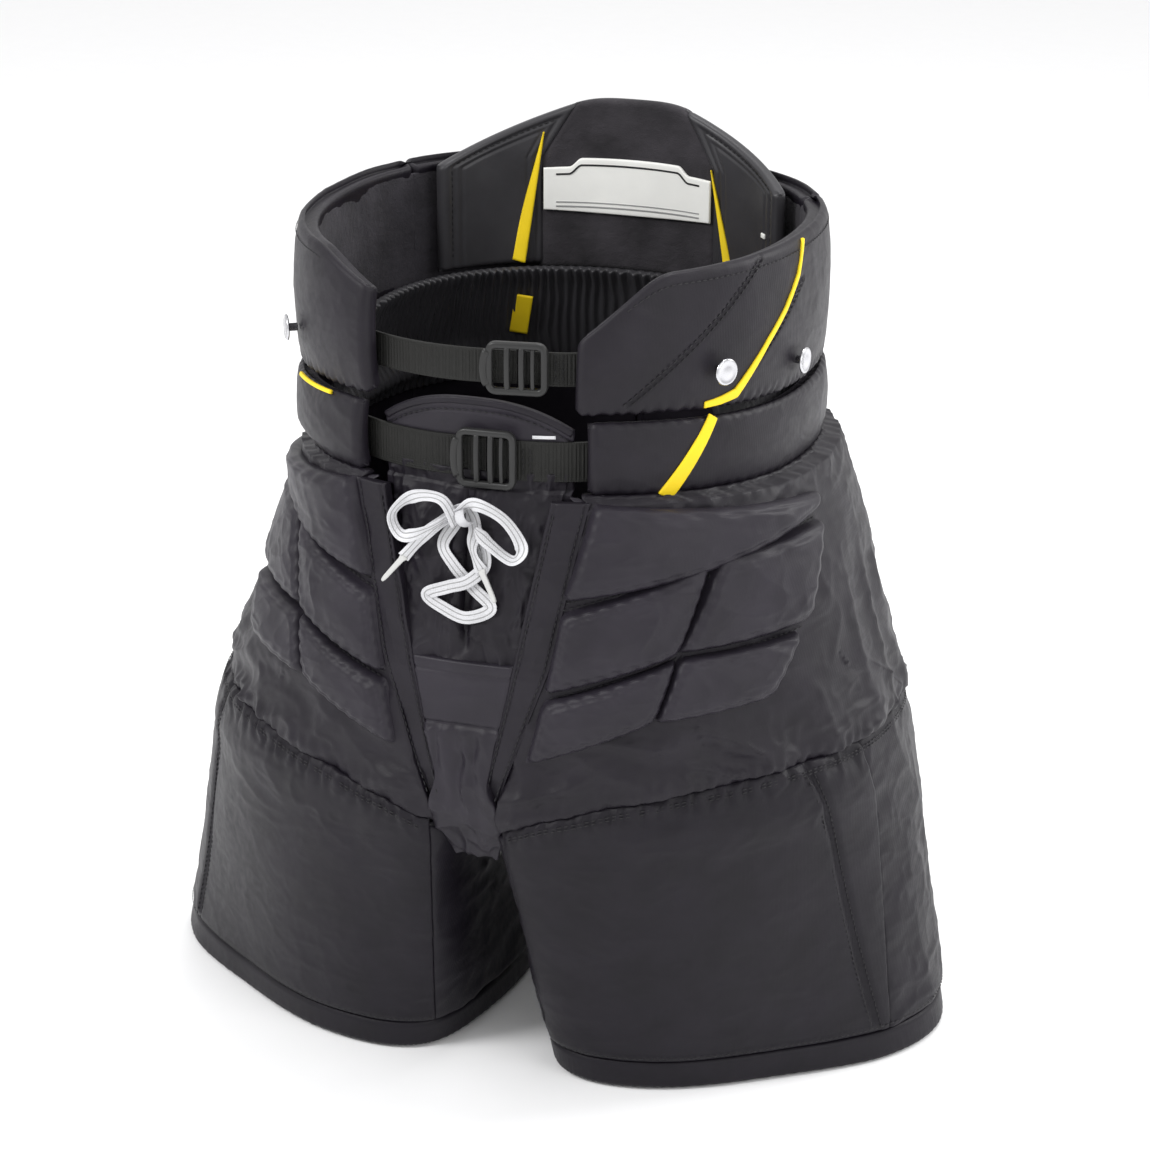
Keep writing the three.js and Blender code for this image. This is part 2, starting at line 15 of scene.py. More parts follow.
import bpy
import numpy as np
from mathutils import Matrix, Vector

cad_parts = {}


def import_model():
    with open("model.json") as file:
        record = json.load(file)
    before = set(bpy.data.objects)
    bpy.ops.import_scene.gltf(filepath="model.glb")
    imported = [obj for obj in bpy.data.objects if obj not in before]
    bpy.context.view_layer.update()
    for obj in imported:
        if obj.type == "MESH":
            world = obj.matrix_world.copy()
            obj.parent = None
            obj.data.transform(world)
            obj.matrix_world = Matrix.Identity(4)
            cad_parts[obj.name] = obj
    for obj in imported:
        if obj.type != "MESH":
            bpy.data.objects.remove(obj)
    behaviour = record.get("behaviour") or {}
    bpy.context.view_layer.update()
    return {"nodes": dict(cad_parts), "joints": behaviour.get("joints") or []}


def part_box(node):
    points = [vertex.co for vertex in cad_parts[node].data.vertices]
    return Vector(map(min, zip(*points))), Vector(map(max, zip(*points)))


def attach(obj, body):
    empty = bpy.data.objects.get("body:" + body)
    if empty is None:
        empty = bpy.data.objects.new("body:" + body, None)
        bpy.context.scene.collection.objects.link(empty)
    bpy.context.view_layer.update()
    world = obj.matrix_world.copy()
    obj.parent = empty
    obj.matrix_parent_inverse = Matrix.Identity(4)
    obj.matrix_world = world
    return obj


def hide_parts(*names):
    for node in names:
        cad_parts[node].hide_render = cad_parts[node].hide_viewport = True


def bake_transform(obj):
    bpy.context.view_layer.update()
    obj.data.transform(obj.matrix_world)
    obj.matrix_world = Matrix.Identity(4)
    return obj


Array = np.ndarray
Value = np.ndarray | float
Surface = Callable[[Array, Array], Array]
Relief = Callable[[Array, Array, Array], Array]
Corner = tuple[float, float]

MM = 0.001
WAIST_RADIUS = 205.0
HIP_MM_PER_DEGREE = 4.25
COLLAR_MM_PER_DEGREE = 3.7
log = logging.getLogger("pants")


# ---------------------------------------------------------------- numbers and noise


def lerp(a: Value, b: Value, t: Value) -> Value:
    """Straight blend from a to b."""
    return a + (b - a) * t


def smooth(x: Value, low: float, high: float) -> Value:
    """Smooth step from 0 at low to 1 at high."""
    t = np.clip((x - low) / (high - low), 0.0, 1.0)
    return t * t * (3 - 2 * t)


def unit(v: Array) -> Array:
    """Vectors of length 1 along the last axis."""
    return v / np.maximum(np.linalg.norm(v, axis=-1, keepdims=True), 1e-9)


def facing(count: int) -> Array:
    """Normals that all look forward."""
    return np.tile([0.0, -1.0, 0.0], (count, 1))


def noise(p: Array, seed: int = 0) -> Array:
    """Smooth value noise from -1 to 1.

    Args:
        p: Points, the last axis of length 3, one noise cell per unit.
        seed: Which noise field.
    Returns:
        One value per point: corner values hashed from the cell, blended with a cubic ease.
    """
    cell = np.floor(p).astype(np.int64)
    f = p - cell
    f = f * f * (3 - 2 * f)

    def corner(i: int, j: int, k: int) -> Array:
        """Hashed value of one corner of each cell."""
        n = (cell[..., 0] + i) * 73856093 ^ (cell[..., 1] + j) * 19349663
        n = (n ^ (cell[..., 2] + k) * 83492791 ^ seed * 26544357) & 0xFFFFFFF
        n = ((n ^ (n >> 13)) * 1274126177) & 0xFFFFFFF
        return ((n ^ (n >> 11)) & 0xFFFF) / 32767.5 - 1

    def along_x(j: int, k: int) -> Array:
        """Corner values blended along x."""
        return lerp(corner(0, j, k), corner(1, j, k), f[..., 0])

    low = lerp(along_x(0, 0), along_x(1, 0), f[..., 1])
    high = lerp(along_x(0, 1), along_x(1, 1), f[..., 1])
    return lerp(low, high, f[..., 2])


def creases(p: Array, size: Sequence[float], seed: int, warp: float = 0.7) -> Array:
    """Folds of cloth: 1 on a ridge, falling to about -1 in a hollow, bent by a second noise.

    Args:
        p: Points in millimetres.
        size: Fold size along x, y and z in millimetres.
        seed: Which folds.
        warp: How strongly the folds wander.
    Returns:
        The points or values.
    """
    q = p / np.asarray(size, float)
    bend = np.stack([noise(q * 0.6, seed + k) for k in (1, 2, 3)], -1)
    return 1 - 2 * np.abs(noise(q + warp * bend, seed)) ** 0.8


def near(path: Array, u: Array, v: Array) -> tuple[Array, Array]:
    """Distance from each point to a polyline in a flat pattern, and how far along it lies.

    Args:
        path: Corners as angle and height.
        u: First flat coordinate.
        v: Second flat coordinate.
    Returns:
        Both arrays.
    """
    best = np.full(u.shape, 1e9)
    along = np.zeros(u.shape)
    start = 0.0
    for a, b in zip(path[:-1], path[1:]):
        d = b - a
        length = float(np.hypot(*d))
        t = np.clip(((u - a[0]) * d[0] + (v - a[1]) * d[1]) / length**2, 0, 1)
        gap = np.hypot(u - a[0] - t * d[0], v - a[1] - t * d[1])
        along = np.where(gap < best, start + t * length, along)
        best = np.minimum(best, gap)
        start += length
    return best, along


# ---------------------------------------------------------------- body shape


@dataclass(frozen=True)
class BodyShape:
    """Outer surface of waist, hips and legs, in millimetres, as the frame's solids have it."""

    shift_y: float
    hip_z: float = 236.0
    belt_z: float = 482.0
    belt_height: float = 59.0
    collar_top: float = 645.3
    waist_dip: float = 14.0
    waist_half: float = 197.0
    mid_y: float = 24.0
    waist_front: float = 220.0
    waist_back: float = 192.0
    hip_half: float = 280.0
    hip_front: float = 232.0
    hip_back: float = 188.0
    puff: float = 0.15
    roundness: float = 2.2
    fly_z: float = 356.0
    leg_top: tuple = ((26, -204), (96, -200), (176, -166), (234, -112), (270, -40), (278, 40),
                      (248, 122), (182, 176), (96, 204), (26, 208), (16, 90), (16, -90))
    leg_hem: tuple = ((50, -138), (80, -156), (140, -148), (222, -98), (292, -38), (316, 24),
                      (296, 88), (220, 126), (120, 136), (46, 106), (26, 40), (28, -60))

    def dip(self, angle: Array) -> Array:
        """How much lower the waist runs at an angle."""
        return self.waist_dip * smooth(np.abs(angle), 20, 95)

    def hip_share(self, z: Array, angle: Array) -> Array:
        """0 at the waist and 1 at the hips, where the hips puff out right under the belt."""
        span = self.belt_z - self.hip_z
        below = (self.belt_z - z - self.dip(angle)) / span
        return np.where(below < 0.0006, 0.0, lerp(self.puff, 1, np.clip(below, 0, 1) ** 0.85))

    def torso(self, angle: Array, z: Array, inset: Array = 0.0) -> Array:
        """Points on the upper body: an oval of the given roundness, flatter behind.

        Args:
            angle: Degrees round the waist.
            z: Height.
            inset: Distance in from the face.
        Returns:
            The points or values.
        """
        angle, z = np.broadcast_arrays(np.asarray(angle, float), np.asarray(z, float))
        share = self.hip_share(z, np.minimum(np.abs(angle), 360 - np.abs(angle)))
        a = np.radians(angle)
        depth = np.where(np.cos(a) > 0, lerp(self.waist_front, self.hip_front, share),
                         lerp(self.waist_back, self.hip_back, share)) - inset
        half = lerp(self.waist_half, self.hip_half, share) - inset

        def power(v: Array) -> Array:
            """Signed power that rounds or squares the oval."""
            return np.sign(v) * np.abs(v) ** (2 / self.roundness)

        return np.stack([half * power(np.sin(a)), self.mid_y - depth * power(np.cos(a)), z], -1)

    def front_angle(self, x: Array, z: Array, inset: Array = 0.0) -> Array:
        """The angle at which the front is x from the mid plane."""
        half = lerp(self.waist_half, self.hip_half, self.hip_share(z, np.zeros_like(z))) - inset
        share = np.clip(np.abs(x) / half, 0, 1) ** (self.roundness / 2)
        return np.degrees(np.arcsin(share)) * np.sign(x)

    def _ring(self, outline: tuple, turn: Array) -> Array:
        """A closed centripetal Catmull-Rom outline at a share of one turn.

        Args:
            outline: Corners of the outline.
            turn: Share of one turn round the leg.
        Returns:
            The points or values.
        """
        pts = np.asarray(outline, float)
        n = len(pts)
        pos = np.mod(turn, 1.0) * n
        k = np.floor(pos).astype(int)
        w = (pos - k)[..., None]
        p0, p1, p2, p3 = (pts[(k + d) % n] for d in (-1, 0, 1, 2))
        t0, t1, t2 = (np.sqrt(np.linalg.norm(b - a, axis=-1, keepdims=True))
                      for a, b in ((p0, p1), (p1, p2), (p2, p3)))
        m1 = ((p1 - p0) / t0 - (p2 - p0) / (t0 + t1) + (p2 - p1) / t1) * t1
        m2 = ((p2 - p1) / t1 - (p3 - p1) / (t1 + t2) + (p3 - p2) / t2) * t1
        return (p1 + m1 * w + (-3 * p1 + 3 * p2 - 2 * m1 - m2) * w**2
                + (2 * p1 - 2 * p2 + m1 + m2) * w**3)

    def leg(self, turn: Array, z: Array, inset: float = 0.0) -> Array:
        """Points on a leg, blended from its hem outline to its hip outline.

        Args:
            turn: Share of one turn round the leg.
            z: Height.
            inset: Distance in from the face.
        Returns:
            The points or values.
        """
        turn, z = np.broadcast_arrays(np.asarray(turn, float), np.asarray(z, float))
        share = np.clip(z / self.hip_z, 0, 1)[..., None]

        def flat(t: Array) -> Array:
            """The outline at this height."""
            return lerp(self._ring(self.leg_hem, t), self._ring(self.leg_top, t), share)

        p = flat(turn)
        along = unit(flat(turn + 1e-3) - flat(turn - 1e-3))
        return np.stack([p[..., 0] - along[..., 1] * inset, p[..., 1] + along[..., 0] * inset, z],
                        -1)

    def turn_of(self, angle: Array) -> Array:
        """Where on the leg's outline an angle of the upper body continues."""
        xy = np.asarray(self.leg_top[:10], float)
        a = np.degrees(np.arcsin(np.minimum(1, xy[:, 0] / self.hip_half) ** (self.roundness / 2)))
        a = np.where(xy[:, 1] < self.mid_y, a, 180 - a)
        return np.interp(angle, a, np.arange(10)) / 12

    def side(self, angle: Array, z: Array, inset: float = 0.0) -> Array:
        """The wearer's left side from hem to belt: leg below the hip axis, torso above."""
        angle, z = np.broadcast_arrays(np.asarray(angle, float), np.asarray(z, float))
        mix = smooth(z, self.hip_z - 34, self.hip_z + 30)[..., None]
        return lerp(self.leg(self.turn_of(angle), z, inset), self.torso(angle, z, inset), mix)

    def hip_edge(self, z: Array) -> Array:
        """Half the distance between the two hip pieces across the front."""
        low = lerp(22, 65, np.clip((z - self.hip_z) / (self.fly_z - self.hip_z), 0, 1))
        return np.where(z < self.fly_z, low,
                        lerp(65, 90, (z - self.fly_z) / (self.belt_z - self.fly_z)))

    def fly_edge(self, z: Array) -> Array:
        """Half width of the fly between its two sewn bands."""
        share = np.clip((z - self.hip_z) / (self.fly_z - self.hip_z), 0, 1)
        return self.hip_edge(z) - lerp(8, 26, share)

    def lean(self, p: Array) -> Array:
        """The wearer's right side as it stands: drawn in at the hip, flared at the hem."""
        share = np.interp(p[:, 2], [0, 140, 262, 334, 395, 440, 478, 492],
                          [0.062, 0.034, 0.0, -0.050, -0.105, -0.125, -0.07, 0.0])
        outward = smooth(-p[:, 0], 0.0, 190.0)
        return p * np.stack([1 + share * outward, np.ones(len(p)), np.ones(len(p))], -1)

    def thigh_seam(self, angle: Array) -> Array:
        """Height of the seam where a leg is sewn to the hips."""
        front = np.interp(angle, [4, 11.3, 21.6, 35.4, 49.5, 60], [222, 238, 252, 263, 268, 269])
        return lerp(front, 240, smooth(angle, 110, 172))


# ---------------------------------------------------------------- finishes


class Weave(Enum):
    """Surface texture of a finish."""

    PLAIN = "plain weave"
    RIBBED = "ribbed webbing"
    BRUSHED = "brushed pile"
    GRAIN = "leather grain"
    MOULDED = "moulded plastic"
    METAL = "polished metal"


@dataclass(frozen=True)
class Finish:
    """A procedural material with its own weave or grain, mottled colour and a noise in its roughness.
    """

    name: str
    color: tuple[float, float, float]
    rough: float
    weave: Weave
    pitch: float = 0.9
    depth: float = 0.12
    mottle: float = 0.12
    sheen: float = 0.0
    metallic: float = 0.0
    gloss: float = 0.30

    def build(self) -> bpy.types.Material:
        """Make the node material: colour mottled by a slow noise, roughness by a finer one.

        Returns:
            The material.
        """
        mat = bpy.data.materials.new(self.name)
        mat.use_nodes = True
        nodes, links = mat.node_tree.nodes, mat.node_tree.links
        shader = nodes["Principled BSDF"]
        coords = nodes.new("ShaderNodeTexCoord")
        shader.inputs["Metallic"].default_value = self.metallic
        shader.inputs["Specular IOR Level"].default_value = self.gloss
        if self.sheen:
            shader.inputs["Sheen Weight"].default_value = self.sheen
            shader.inputs["Sheen Roughness"].default_value = 0.45
        slow = self._noise(nodes, links, coords, 28.0, 5.0)
        ramp = nodes.new("ShaderNodeValToRGB")
        for stop, gain in zip(ramp.color_ramp.elements, (1 - self.mottle, 1 + self.mottle)):
            stop.color = (*(min(1.0, c * gain) for c in self.color), 1.0)
        ramp.color_ramp.elements[0].position = 0.3
        ramp.color_ramp.elements[1].position = 0.7
        links.new(slow.outputs["Fac"], ramp.inputs["Fac"])
        links.new(ramp.outputs["Color"], shader.inputs["Base Color"])
        fine = self._noise(nodes, links, coords, 190.0, 3.0)
        spread = nodes.new("ShaderNodeMapRange")
        spread.inputs["To Min"].default_value = max(0.02, self.rough - 0.09)
        spread.inputs["To Max"].default_value = min(1.0, self.rough + 0.09)
        links.new(fine.outputs["Fac"], spread.inputs["Value"])
        links.new(spread.outputs["Result"], shader.inputs["Roughness"])
        height = self._height(nodes, links, coords)
        bump = nodes.new("ShaderNodeBump")
        bump.inputs["Strength"].default_value = 0.7
        bump.inputs["Distance"].default_value = self.depth * MM
        links.new(height, bump.inputs["Height"])
        soft = nodes.new("ShaderNodeBump")
        soft.inputs["Strength"].default_value = 0.35
        soft.inputs["Distance"].default_value = 3 * self.depth * MM
        links.new(fine.outputs["Fac"], soft.inputs["Height"])
        links.new(bump.outputs["Normal"], soft.inputs["Normal"])
        links.new(soft.outputs["Normal"], shader.inputs["Normal"])
        return mat

    @staticmethod
    def _noise(nodes: bpy.types.Nodes, links: bpy.types.NodeLinks, coords: bpy.types.Node,
               scale: float, detail: float) -> bpy.types.Node:
        """A noise texture in object space.

        Args:
            nodes: The material's nodes.
            links: The material's links.
            coords: Object coordinates.
            scale: Scale of the noise.
            detail: Detail of the noise.
        Returns:
            The texture node.
        """
        tex = nodes.new("ShaderNodeTexNoise")
        tex.inputs["Scale"].default_value = scale
        tex.inputs["Detail"].default_value = detail
        links.new(coords.outputs["Object"], tex.inputs["Vector"])
        return tex

    def _height(self, nodes: bpy.types.Nodes, links: bpy.types.NodeLinks,
                coords: bpy.types.Node) -> bpy.types.NodeSocket:
        """The socket that holds the height of the weave or grain.

        Args:
            nodes: The material's nodes.
            links: The material's links.
            coords: Object coordinates.
        Returns:
            The socket.
        """
        if self.weave in (Weave.PLAIN, Weave.RIBBED):
            waves = []
            for axis in ("X", "Z"):
                wave = nodes.new("ShaderNodeTexWave")
                wave.bands_direction = axis
                wave.inputs["Scale"].default_value = 2 * math.pi / (20 * self.pitch * MM)
                wave.inputs["Distortion"].default_value = 0.6
                links.new(coords.outputs["Object"], wave.inputs["Vector"])
                waves.append(wave.outputs["Fac"])
            join = nodes.new("ShaderNodeMath")
            join.operation = "MAXIMUM" if self.weave is Weave.PLAIN else "MULTIPLY"
            links.new(waves[0], join.inputs[0])
            links.new(waves[1], join.inputs[1])
            return join.outputs["Value"]
        if self.weave is Weave.GRAIN:
            cells = nodes.new("ShaderNodeTexVoronoi")
            cells.feature = "DISTANCE_TO_EDGE"
            cells.inputs["Scale"].default_value = 1 / (self.pitch * MM)
            links.new(coords.outputs["Object"], cells.inputs["Vector"])
            return cells.outputs["Distance"]
        scale = {Weave.BRUSHED: 900.0, Weave.MOULDED: 1400.0, Weave.METAL: 500.0}[self.weave]
        return self._noise(nodes, links, coords, scale, 4.0).outputs["Fac"]


NYLON = Finish("shell_nylon", (0.0098, 0.0080, 0.0120), 0.44, Weave.PLAIN, 0.8, 0.10, 0.20, gloss=0.23)
# Painted shade: the shell's plain-weave nylon with a darker base colour and a little less gloss, so
# the legs read darker.
SHADED_LEG_NYLON = Finish("leg_nylon_painted_shade", (0.0078, 0.0064, 0.0098), 0.45, Weave.PLAIN, 0.8, 0.10, 0.20,
                   gloss=0.19)
PAD_NYLON = Finish("pad_nylon", (0.0170, 0.0145, 0.0203), 0.42, Weave.PLAIN, 0.8, 0.10, 0.18,
                   gloss=0.24)
FLEECE = Finish("fleece", (0.0290, 0.0265, 0.0305), 0.95, Weave.BRUSHED, 1.0, 0.9, 0.45, 0.06)
LINING = Finish("lining", (0.0300, 0.0275, 0.0330), 0.9, Weave.BRUSHED, 1.0, 0.8, 0.40, 0.06)
SMOOTH = Finish("smooth_lining", (0.0330, 0.0320, 0.0355), 0.40, Weave.GRAIN, 1.1, 0.08, 0.12)
WEBBING = Finish("webbing", (0.0095, 0.0095, 0.0085), 0.66, Weave.RIBBED, 1.7, 0.35, 0.15)
BUCKLE = Finish("buckle_plastic", (0.0225, 0.0225, 0.0225), 0.34, Weave.MOULDED, 1.0, 0.05, 0.08)
GUARD = Finish("guard_plastic", (0.50, 0.50, 0.49), 0.40, Weave.MOULDED, 1.0, 0.05, 0.05)
LACE = Finish("lace", (0.60, 0.60, 0.62), 0.85, Weave.RIBBED, 1.3, 0.45, 0.16, gloss=0.15)
BADGE = Finish("badge", (0.80, 0.80, 0.77), 0.45, Weave.MOULDED, 1.0, 0.04, 0.04)
INK = Finish("badge_line", (0.012, 0.012, 0.013), 0.6, Weave.MOULDED, 1.0, 0.04, 0.1)
GREY_INK = Finish("badge_grey", (0.28, 0.28, 0.28), 0.6, Weave.MOULDED, 1.0, 0.04, 0.1)
YELLOW = Finish("yellow_trim", (0.86, 0.62, 0.012), 0.5, Weave.PLAIN, 0.8, 0.08, 0.05)
CHROME = Finish("stud_metal", (0.56, 0.56, 0.58), 0.24, Weave.METAL, 1.0, 0.01, 0.06, 0.0, 1.0)
THREAD = Finish("thread", (0.012, 0.0115, 0.013), 0.55, Weave.BRUSHED, 1.0, 0.05, 0.2)
FLOOR = Finish("floor", (0.93, 0.93, 0.935), 0.9, Weave.MOULDED, 1.0, 0.02, 0.005)


# ---------------------------------------------------------------- meshes


def tube_faces(rows: int, cols: int, closed: bool = False) -> Array:
    """Faces of rings of points, capped at both ends unless the last ring joins the first.

    Args:
        rows: Number of rings.
        cols: Points in a ring, an even number.
        closed: True when the last ring joins the first.
    Returns:
        Four vertex numbers for each face.
    """
    grid = np.arange(rows * cols).reshape(rows, cols)
    grid = np.concatenate([grid, grid[:, :1]], 1)
    if closed:
        grid = np.concatenate([grid, grid[:1]], 0)
    quads = np.stack([grid[:-1, :-1], grid[:-1, 1:], grid[1:, 1:], grid[1:, :-1]], -1)
    faces = [quads.reshape(-1, 4)]
    if not closed:
        k = np.arange(cols // 2 - 1)
        cap = np.stack([k, cols - 1 - k, cols - 2 - k, k + 1], -1)
        faces += [cap, cap[:, ::-1] + (rows - 1) * cols]
    return np.concatenate(faces)


@dataclass
class Workshop:
    """Turns grids of points into mesh objects with a finish, shared by all the sub-assemblies."""

    body: BodyShape
    _made: dict = field(default_factory=dict)

    def material(self, finish: Finish) -> bpy.types.Material:
        """The finish's material, built once."""
        if finish.name not in self._made:
            self._made[finish.name] = finish.build()
        return self._made[finish.name]

    def mesh(self, name: str, points: Array, quads: Array, finish: Finish,
             mirror: bool = False) -> bpy.types.Object:
        """A mesh object from points in millimetres.

        Args:
            name: Object name.
            points: Vertices, one row each.
            quads: Vertex numbers, four to a face; a solid's faces are turned outward.
            finish: Its material.
            mirror: True for the wearer's right.
        Returns:
            The piece.
        """
        p = np.array(points, float).reshape(-1, 3)
        p[:, 1] += self.body.shift_y
        if mirror:
            p[:, 0] *= -1
        p = self.body.lean(p)
        a, b, c, d = (p[quads[:, k]] for k in range(4))
        volume = np.einsum("ij,ij->i", a, np.cross(b, c)) + np.einsum("ij,ij->i", a, np.cross(c, d))
        if volume.sum() < 0:
            quads = quads[:, ::-1]
        data = bpy.data.meshes.new(name)
        data.vertices.add(len(p))
        data.vertices.foreach_set("co", (p * MM).astype(np.float32).ravel())
        data.loops.add(quads.size)
        data.loops.foreach_set("vertex_index", quads.astype(np.int32).ravel())
        data.polygons.add(len(quads))
        data.polygons.foreach_set("loop_start", np.arange(0, quads.size, 4, dtype=np.int32))
        data.update(calc_edges=True)
        data.polygons.foreach_set("use_smooth", np.ones(len(quads), bool))
        data.materials.append(self.material(finish))
        obj = bpy.data.objects.new(name, data)
        bpy.context.scene.collection.objects.link(obj)
        return obj

    def shell(self, name: str, surface: Surface, cells: tuple[int, int], thick: float,
              finish: Finish, rim: float = 3.0, lift: Relief | None = None, side: int = 1,
              mirror: bool = False, ring: bool = False) -> bpy.types.Object:
        """A padded sheet with rounded rims.

        The shown face is the surface moved out along its normal by the relief, the hidden face is
        the surface moved in by the thickness, and near each rim both follow a quarter circle.
        Args:
            name: Object name.
            surface: Function of two shares from 0 to 1.
            cells: Cells along the first and second share.
            thick: Thickness in millimetres.
            finish: Its material.
            rim: Radius of the rims.
            lift: Relief in millimetres, given both shares and the points.
            side: 1 when the shown face is where the first share's direction, crossed with the
                second's, points; -1 for the other.
            mirror: True for the wearer's right.
            ring: True when the first share closes on itself.
        Returns:
            The piece.
        """
        probe = np.linspace(0, 1, 9)
        rough = surface(*np.meshgrid(probe, probe))
        size_s = np.linalg.norm(np.diff(rough, axis=1), axis=-1).sum(1).mean()
        size_t = np.linalg.norm(np.diff(rough, axis=0), axis=-1).sum(0).mean()
        rim = min(rim, thick / 2 - 0.05)
        s = np.arange(cells[0]) / cells[0] if ring else self._spaced(cells[0], rim / size_s)
        t = self._spaced(cells[1], rim / size_t)
        S, T = np.meshgrid(s, t)
        base = surface(S, T)
        h = 1e-4
        du = surface(np.clip(S + h, 0, 1 + h), T) - surface(np.clip(S - h, -h, 1), T)
        dv = surface(S, np.clip(T + h, 0, 1)) - surface(S, np.clip(T - h, 0, 1))
        normal = unit(np.cross(du, dv)) * side
        to_s = np.full(S.shape, 1e9) if ring else np.minimum(S, 1 - S) * size_s
        to_t = np.minimum(T, 1 - T) * size_t
        a, b = np.maximum(0, rim - to_s), np.maximum(0, rim - to_t)
        drop = rim - np.sqrt(np.maximum(0, rim**2 - np.minimum(rim**2, a**2 + b**2)))
        relief = 0.0 if lift is None else lift(S, T, base)
        outer = base + normal * (relief - drop)[..., None]
        inner = base + normal * (relief * 0.25 - thick + drop)[..., None]
        quads = self._sheet_faces(S.shape, ring)
        return self.mesh(name, np.concatenate([outer.reshape(-1, 3), inner.reshape(-1, 3)]), quads,
                         finish, mirror)

    @staticmethod
    def _spaced(cells: int, rim_share: float) -> Array:
        """Shares from 0 to 1, crowded where the rims turn."""
        edge = rim_share * (1 - np.cos(np.arange(4) / 4 * math.pi / 2))
        return np.concatenate([edge, np.linspace(rim_share, 1 - rim_share, cells + 1),
                               1 - edge[::-1]])

    @staticmethod
    def _sheet_faces(shape: tuple[int, int], ring: bool) -> Array:
        """Faces of two grids of points and of the rims that join them.

        Args:
            shape: Rows and columns of each grid.
            ring: True when the grid closes on itself.
        Returns:
            The points or values.
        """
        rows, cols = shape
        grid = np.arange(rows * cols).reshape(rows, cols)
        if ring:
            grid = np.concatenate([grid, grid[:, :1]], 1)
        far = grid + rows * cols

        def quads(a: Array, b: Array, c: Array, d: Array) -> Array:
            """Faces from four arrays of corners."""
            return np.stack([a, b, c, d], -1).reshape(-1, 4)

        faces = [quads(grid[:-1, :-1], grid[:-1, 1:], grid[1:, 1:], grid[1:, :-1]),
                 quads(far[:-1, :-1], far[1:, :-1], far[1:, 1:], far[:-1, 1:])]
        edges = [(grid[0], far[0], False), (grid[-1], far[-1], True)]
        if not ring:
            edges += [(grid[:, 0], far[:, 0], True), (grid[:, -1], far[:, -1], False)]
        for near_edge, far_edge, turned in edges:
            q = quads(near_edge[:-1], far_edge[:-1], far_edge[1:], near_edge[1:])
            faces.append(q[:, ::-1] if turned else q)
        return np.concatenate(faces)

    @staticmethod
    def sweep(centers: Array, normals: Array, across: Array, closed: bool = False
              ) -> tuple[Array, Array]:
        """Points and faces of a profile swept along a line.

        Args:
            centers: Points of the line.
            normals: Which way the profile's second axis points at each.
            across: Profile points, either one set or one per point of the line.
            closed: True when the line closes on itself.
        Returns:
            Both arrays.
        """
        ahead = np.roll(centers, -1, 0) if closed else np.concatenate([centers[1:], centers[-1:]])
        back = np.roll(centers, 1, 0) if closed else np.concatenate([centers[:1], centers[:-1]])
        along = unit(ahead - back)
        beside = unit(np.cross(along, normals))
        up = np.cross(beside, along)
        profile = np.broadcast_to(across, (len(centers), *across.shape[-2:]))
        pts = (centers[:, None] + profile[..., :1] * beside[:, None] + profile[..., 1:] * up[:, None])
        return pts.reshape(-1, 3), tube_faces(*profile.shape[:2], closed)

    def strip(self, name: str, centers: Array, normals: Array, width: Value, height: float,
              finish: Finish, mirror: bool = False, sides: int = 12) -> bpy.types.Object:
        """A flat or round strip along a line; width may change along it.

        Args:
            name: Piece's name.
            centers: Points of the middle line.
            normals: Which way the face looks at each point.
            width: Width across.
            height: Webbing's width.
            finish: Its material.
            mirror: Wearer's right.
            sides: Points round the profile.
        Returns:
            The piece.
        """
        angle = (np.arange(sides) + 0.5) / sides * 2 * math.pi
        c, s = np.cos(angle), np.sin(angle)
        flat = np.stack([np.sign(c) * np.abs(c) ** 0.45, np.sign(s) * np.abs(s) ** 0.6], -1)
        width = np.broadcast_to(width, len(centers))
        across = flat[None] * np.stack([width / 2, np.full(len(centers), height / 2)], -1)[:, None]
        pts, faces = self.sweep(centers, normals, across)
        return self.mesh(name, pts, faces, finish, mirror)

    def stitches(self, name: str, runs: Iterable[tuple[Array, Array]], finish: Finish = THREAD,
                 mirror: bool = False, length: float = 3.6, gap: float = 1.6, width: float = 0.9
                 ) -> bpy.types.Object:
        """Sewn threads: one small rounded bead for each stitch along each run of points.

        Args:
            name: Piece's name.
            runs: Lines and their normals.
            finish: Its material.
            mirror: Wearer's right.
            length: Length of a stitch.
            gap: Gap between stitches.
            width: Width across.
        Returns:
            The piece.
        """
        centers, ups, alongs = [], [], []
        for points, normals in runs:
            step = np.concatenate([[0], np.cumsum(np.linalg.norm(np.diff(points, axis=0), axis=1))])
            at = np.arange(gap, step[-1] - length, length + gap) + length / 2
            pick = [np.stack([np.interp(at + d, step, points[:, k]) for k in range(3)], -1)
                    for d in (-1.0, 1.0)]
            centers.append((pick[0] + pick[1]) / 2)
            alongs.append(unit(pick[1] - pick[0]))
            ups.append(np.stack([np.interp(at, step, normals[:, k]) for k in range(3)], -1))
        center, along, up = (np.concatenate(v) for v in (centers, alongs, ups))
        beside = unit(np.cross(along, up))
        up = np.cross(beside, along)
        sides = 6
        rings = ((-0.5, 0.25), (-0.3, 0.9), (0.0, 1.0), (0.3, 0.9), (0.5, 0.25))
        angle = np.arange(sides) / sides * 2 * math.pi
        pts = np.stack([center[:, None] + along[:, None] * (x * length)
                        + (beside[:, None] * np.cos(angle)[:, None]
                           + up[:, None] * np.sin(angle)[:, None]) * (r * width / 2)
                        for x, r in rings], 1)
        first_of_each = len(rings) * sides * np.arange(len(center))
        quads = (tube_faces(len(rings), sides)[None] + first_of_each[:, None, None]).reshape(-1, 4)
        return self.mesh(name, pts.reshape(-1, 3), quads, finish, mirror)

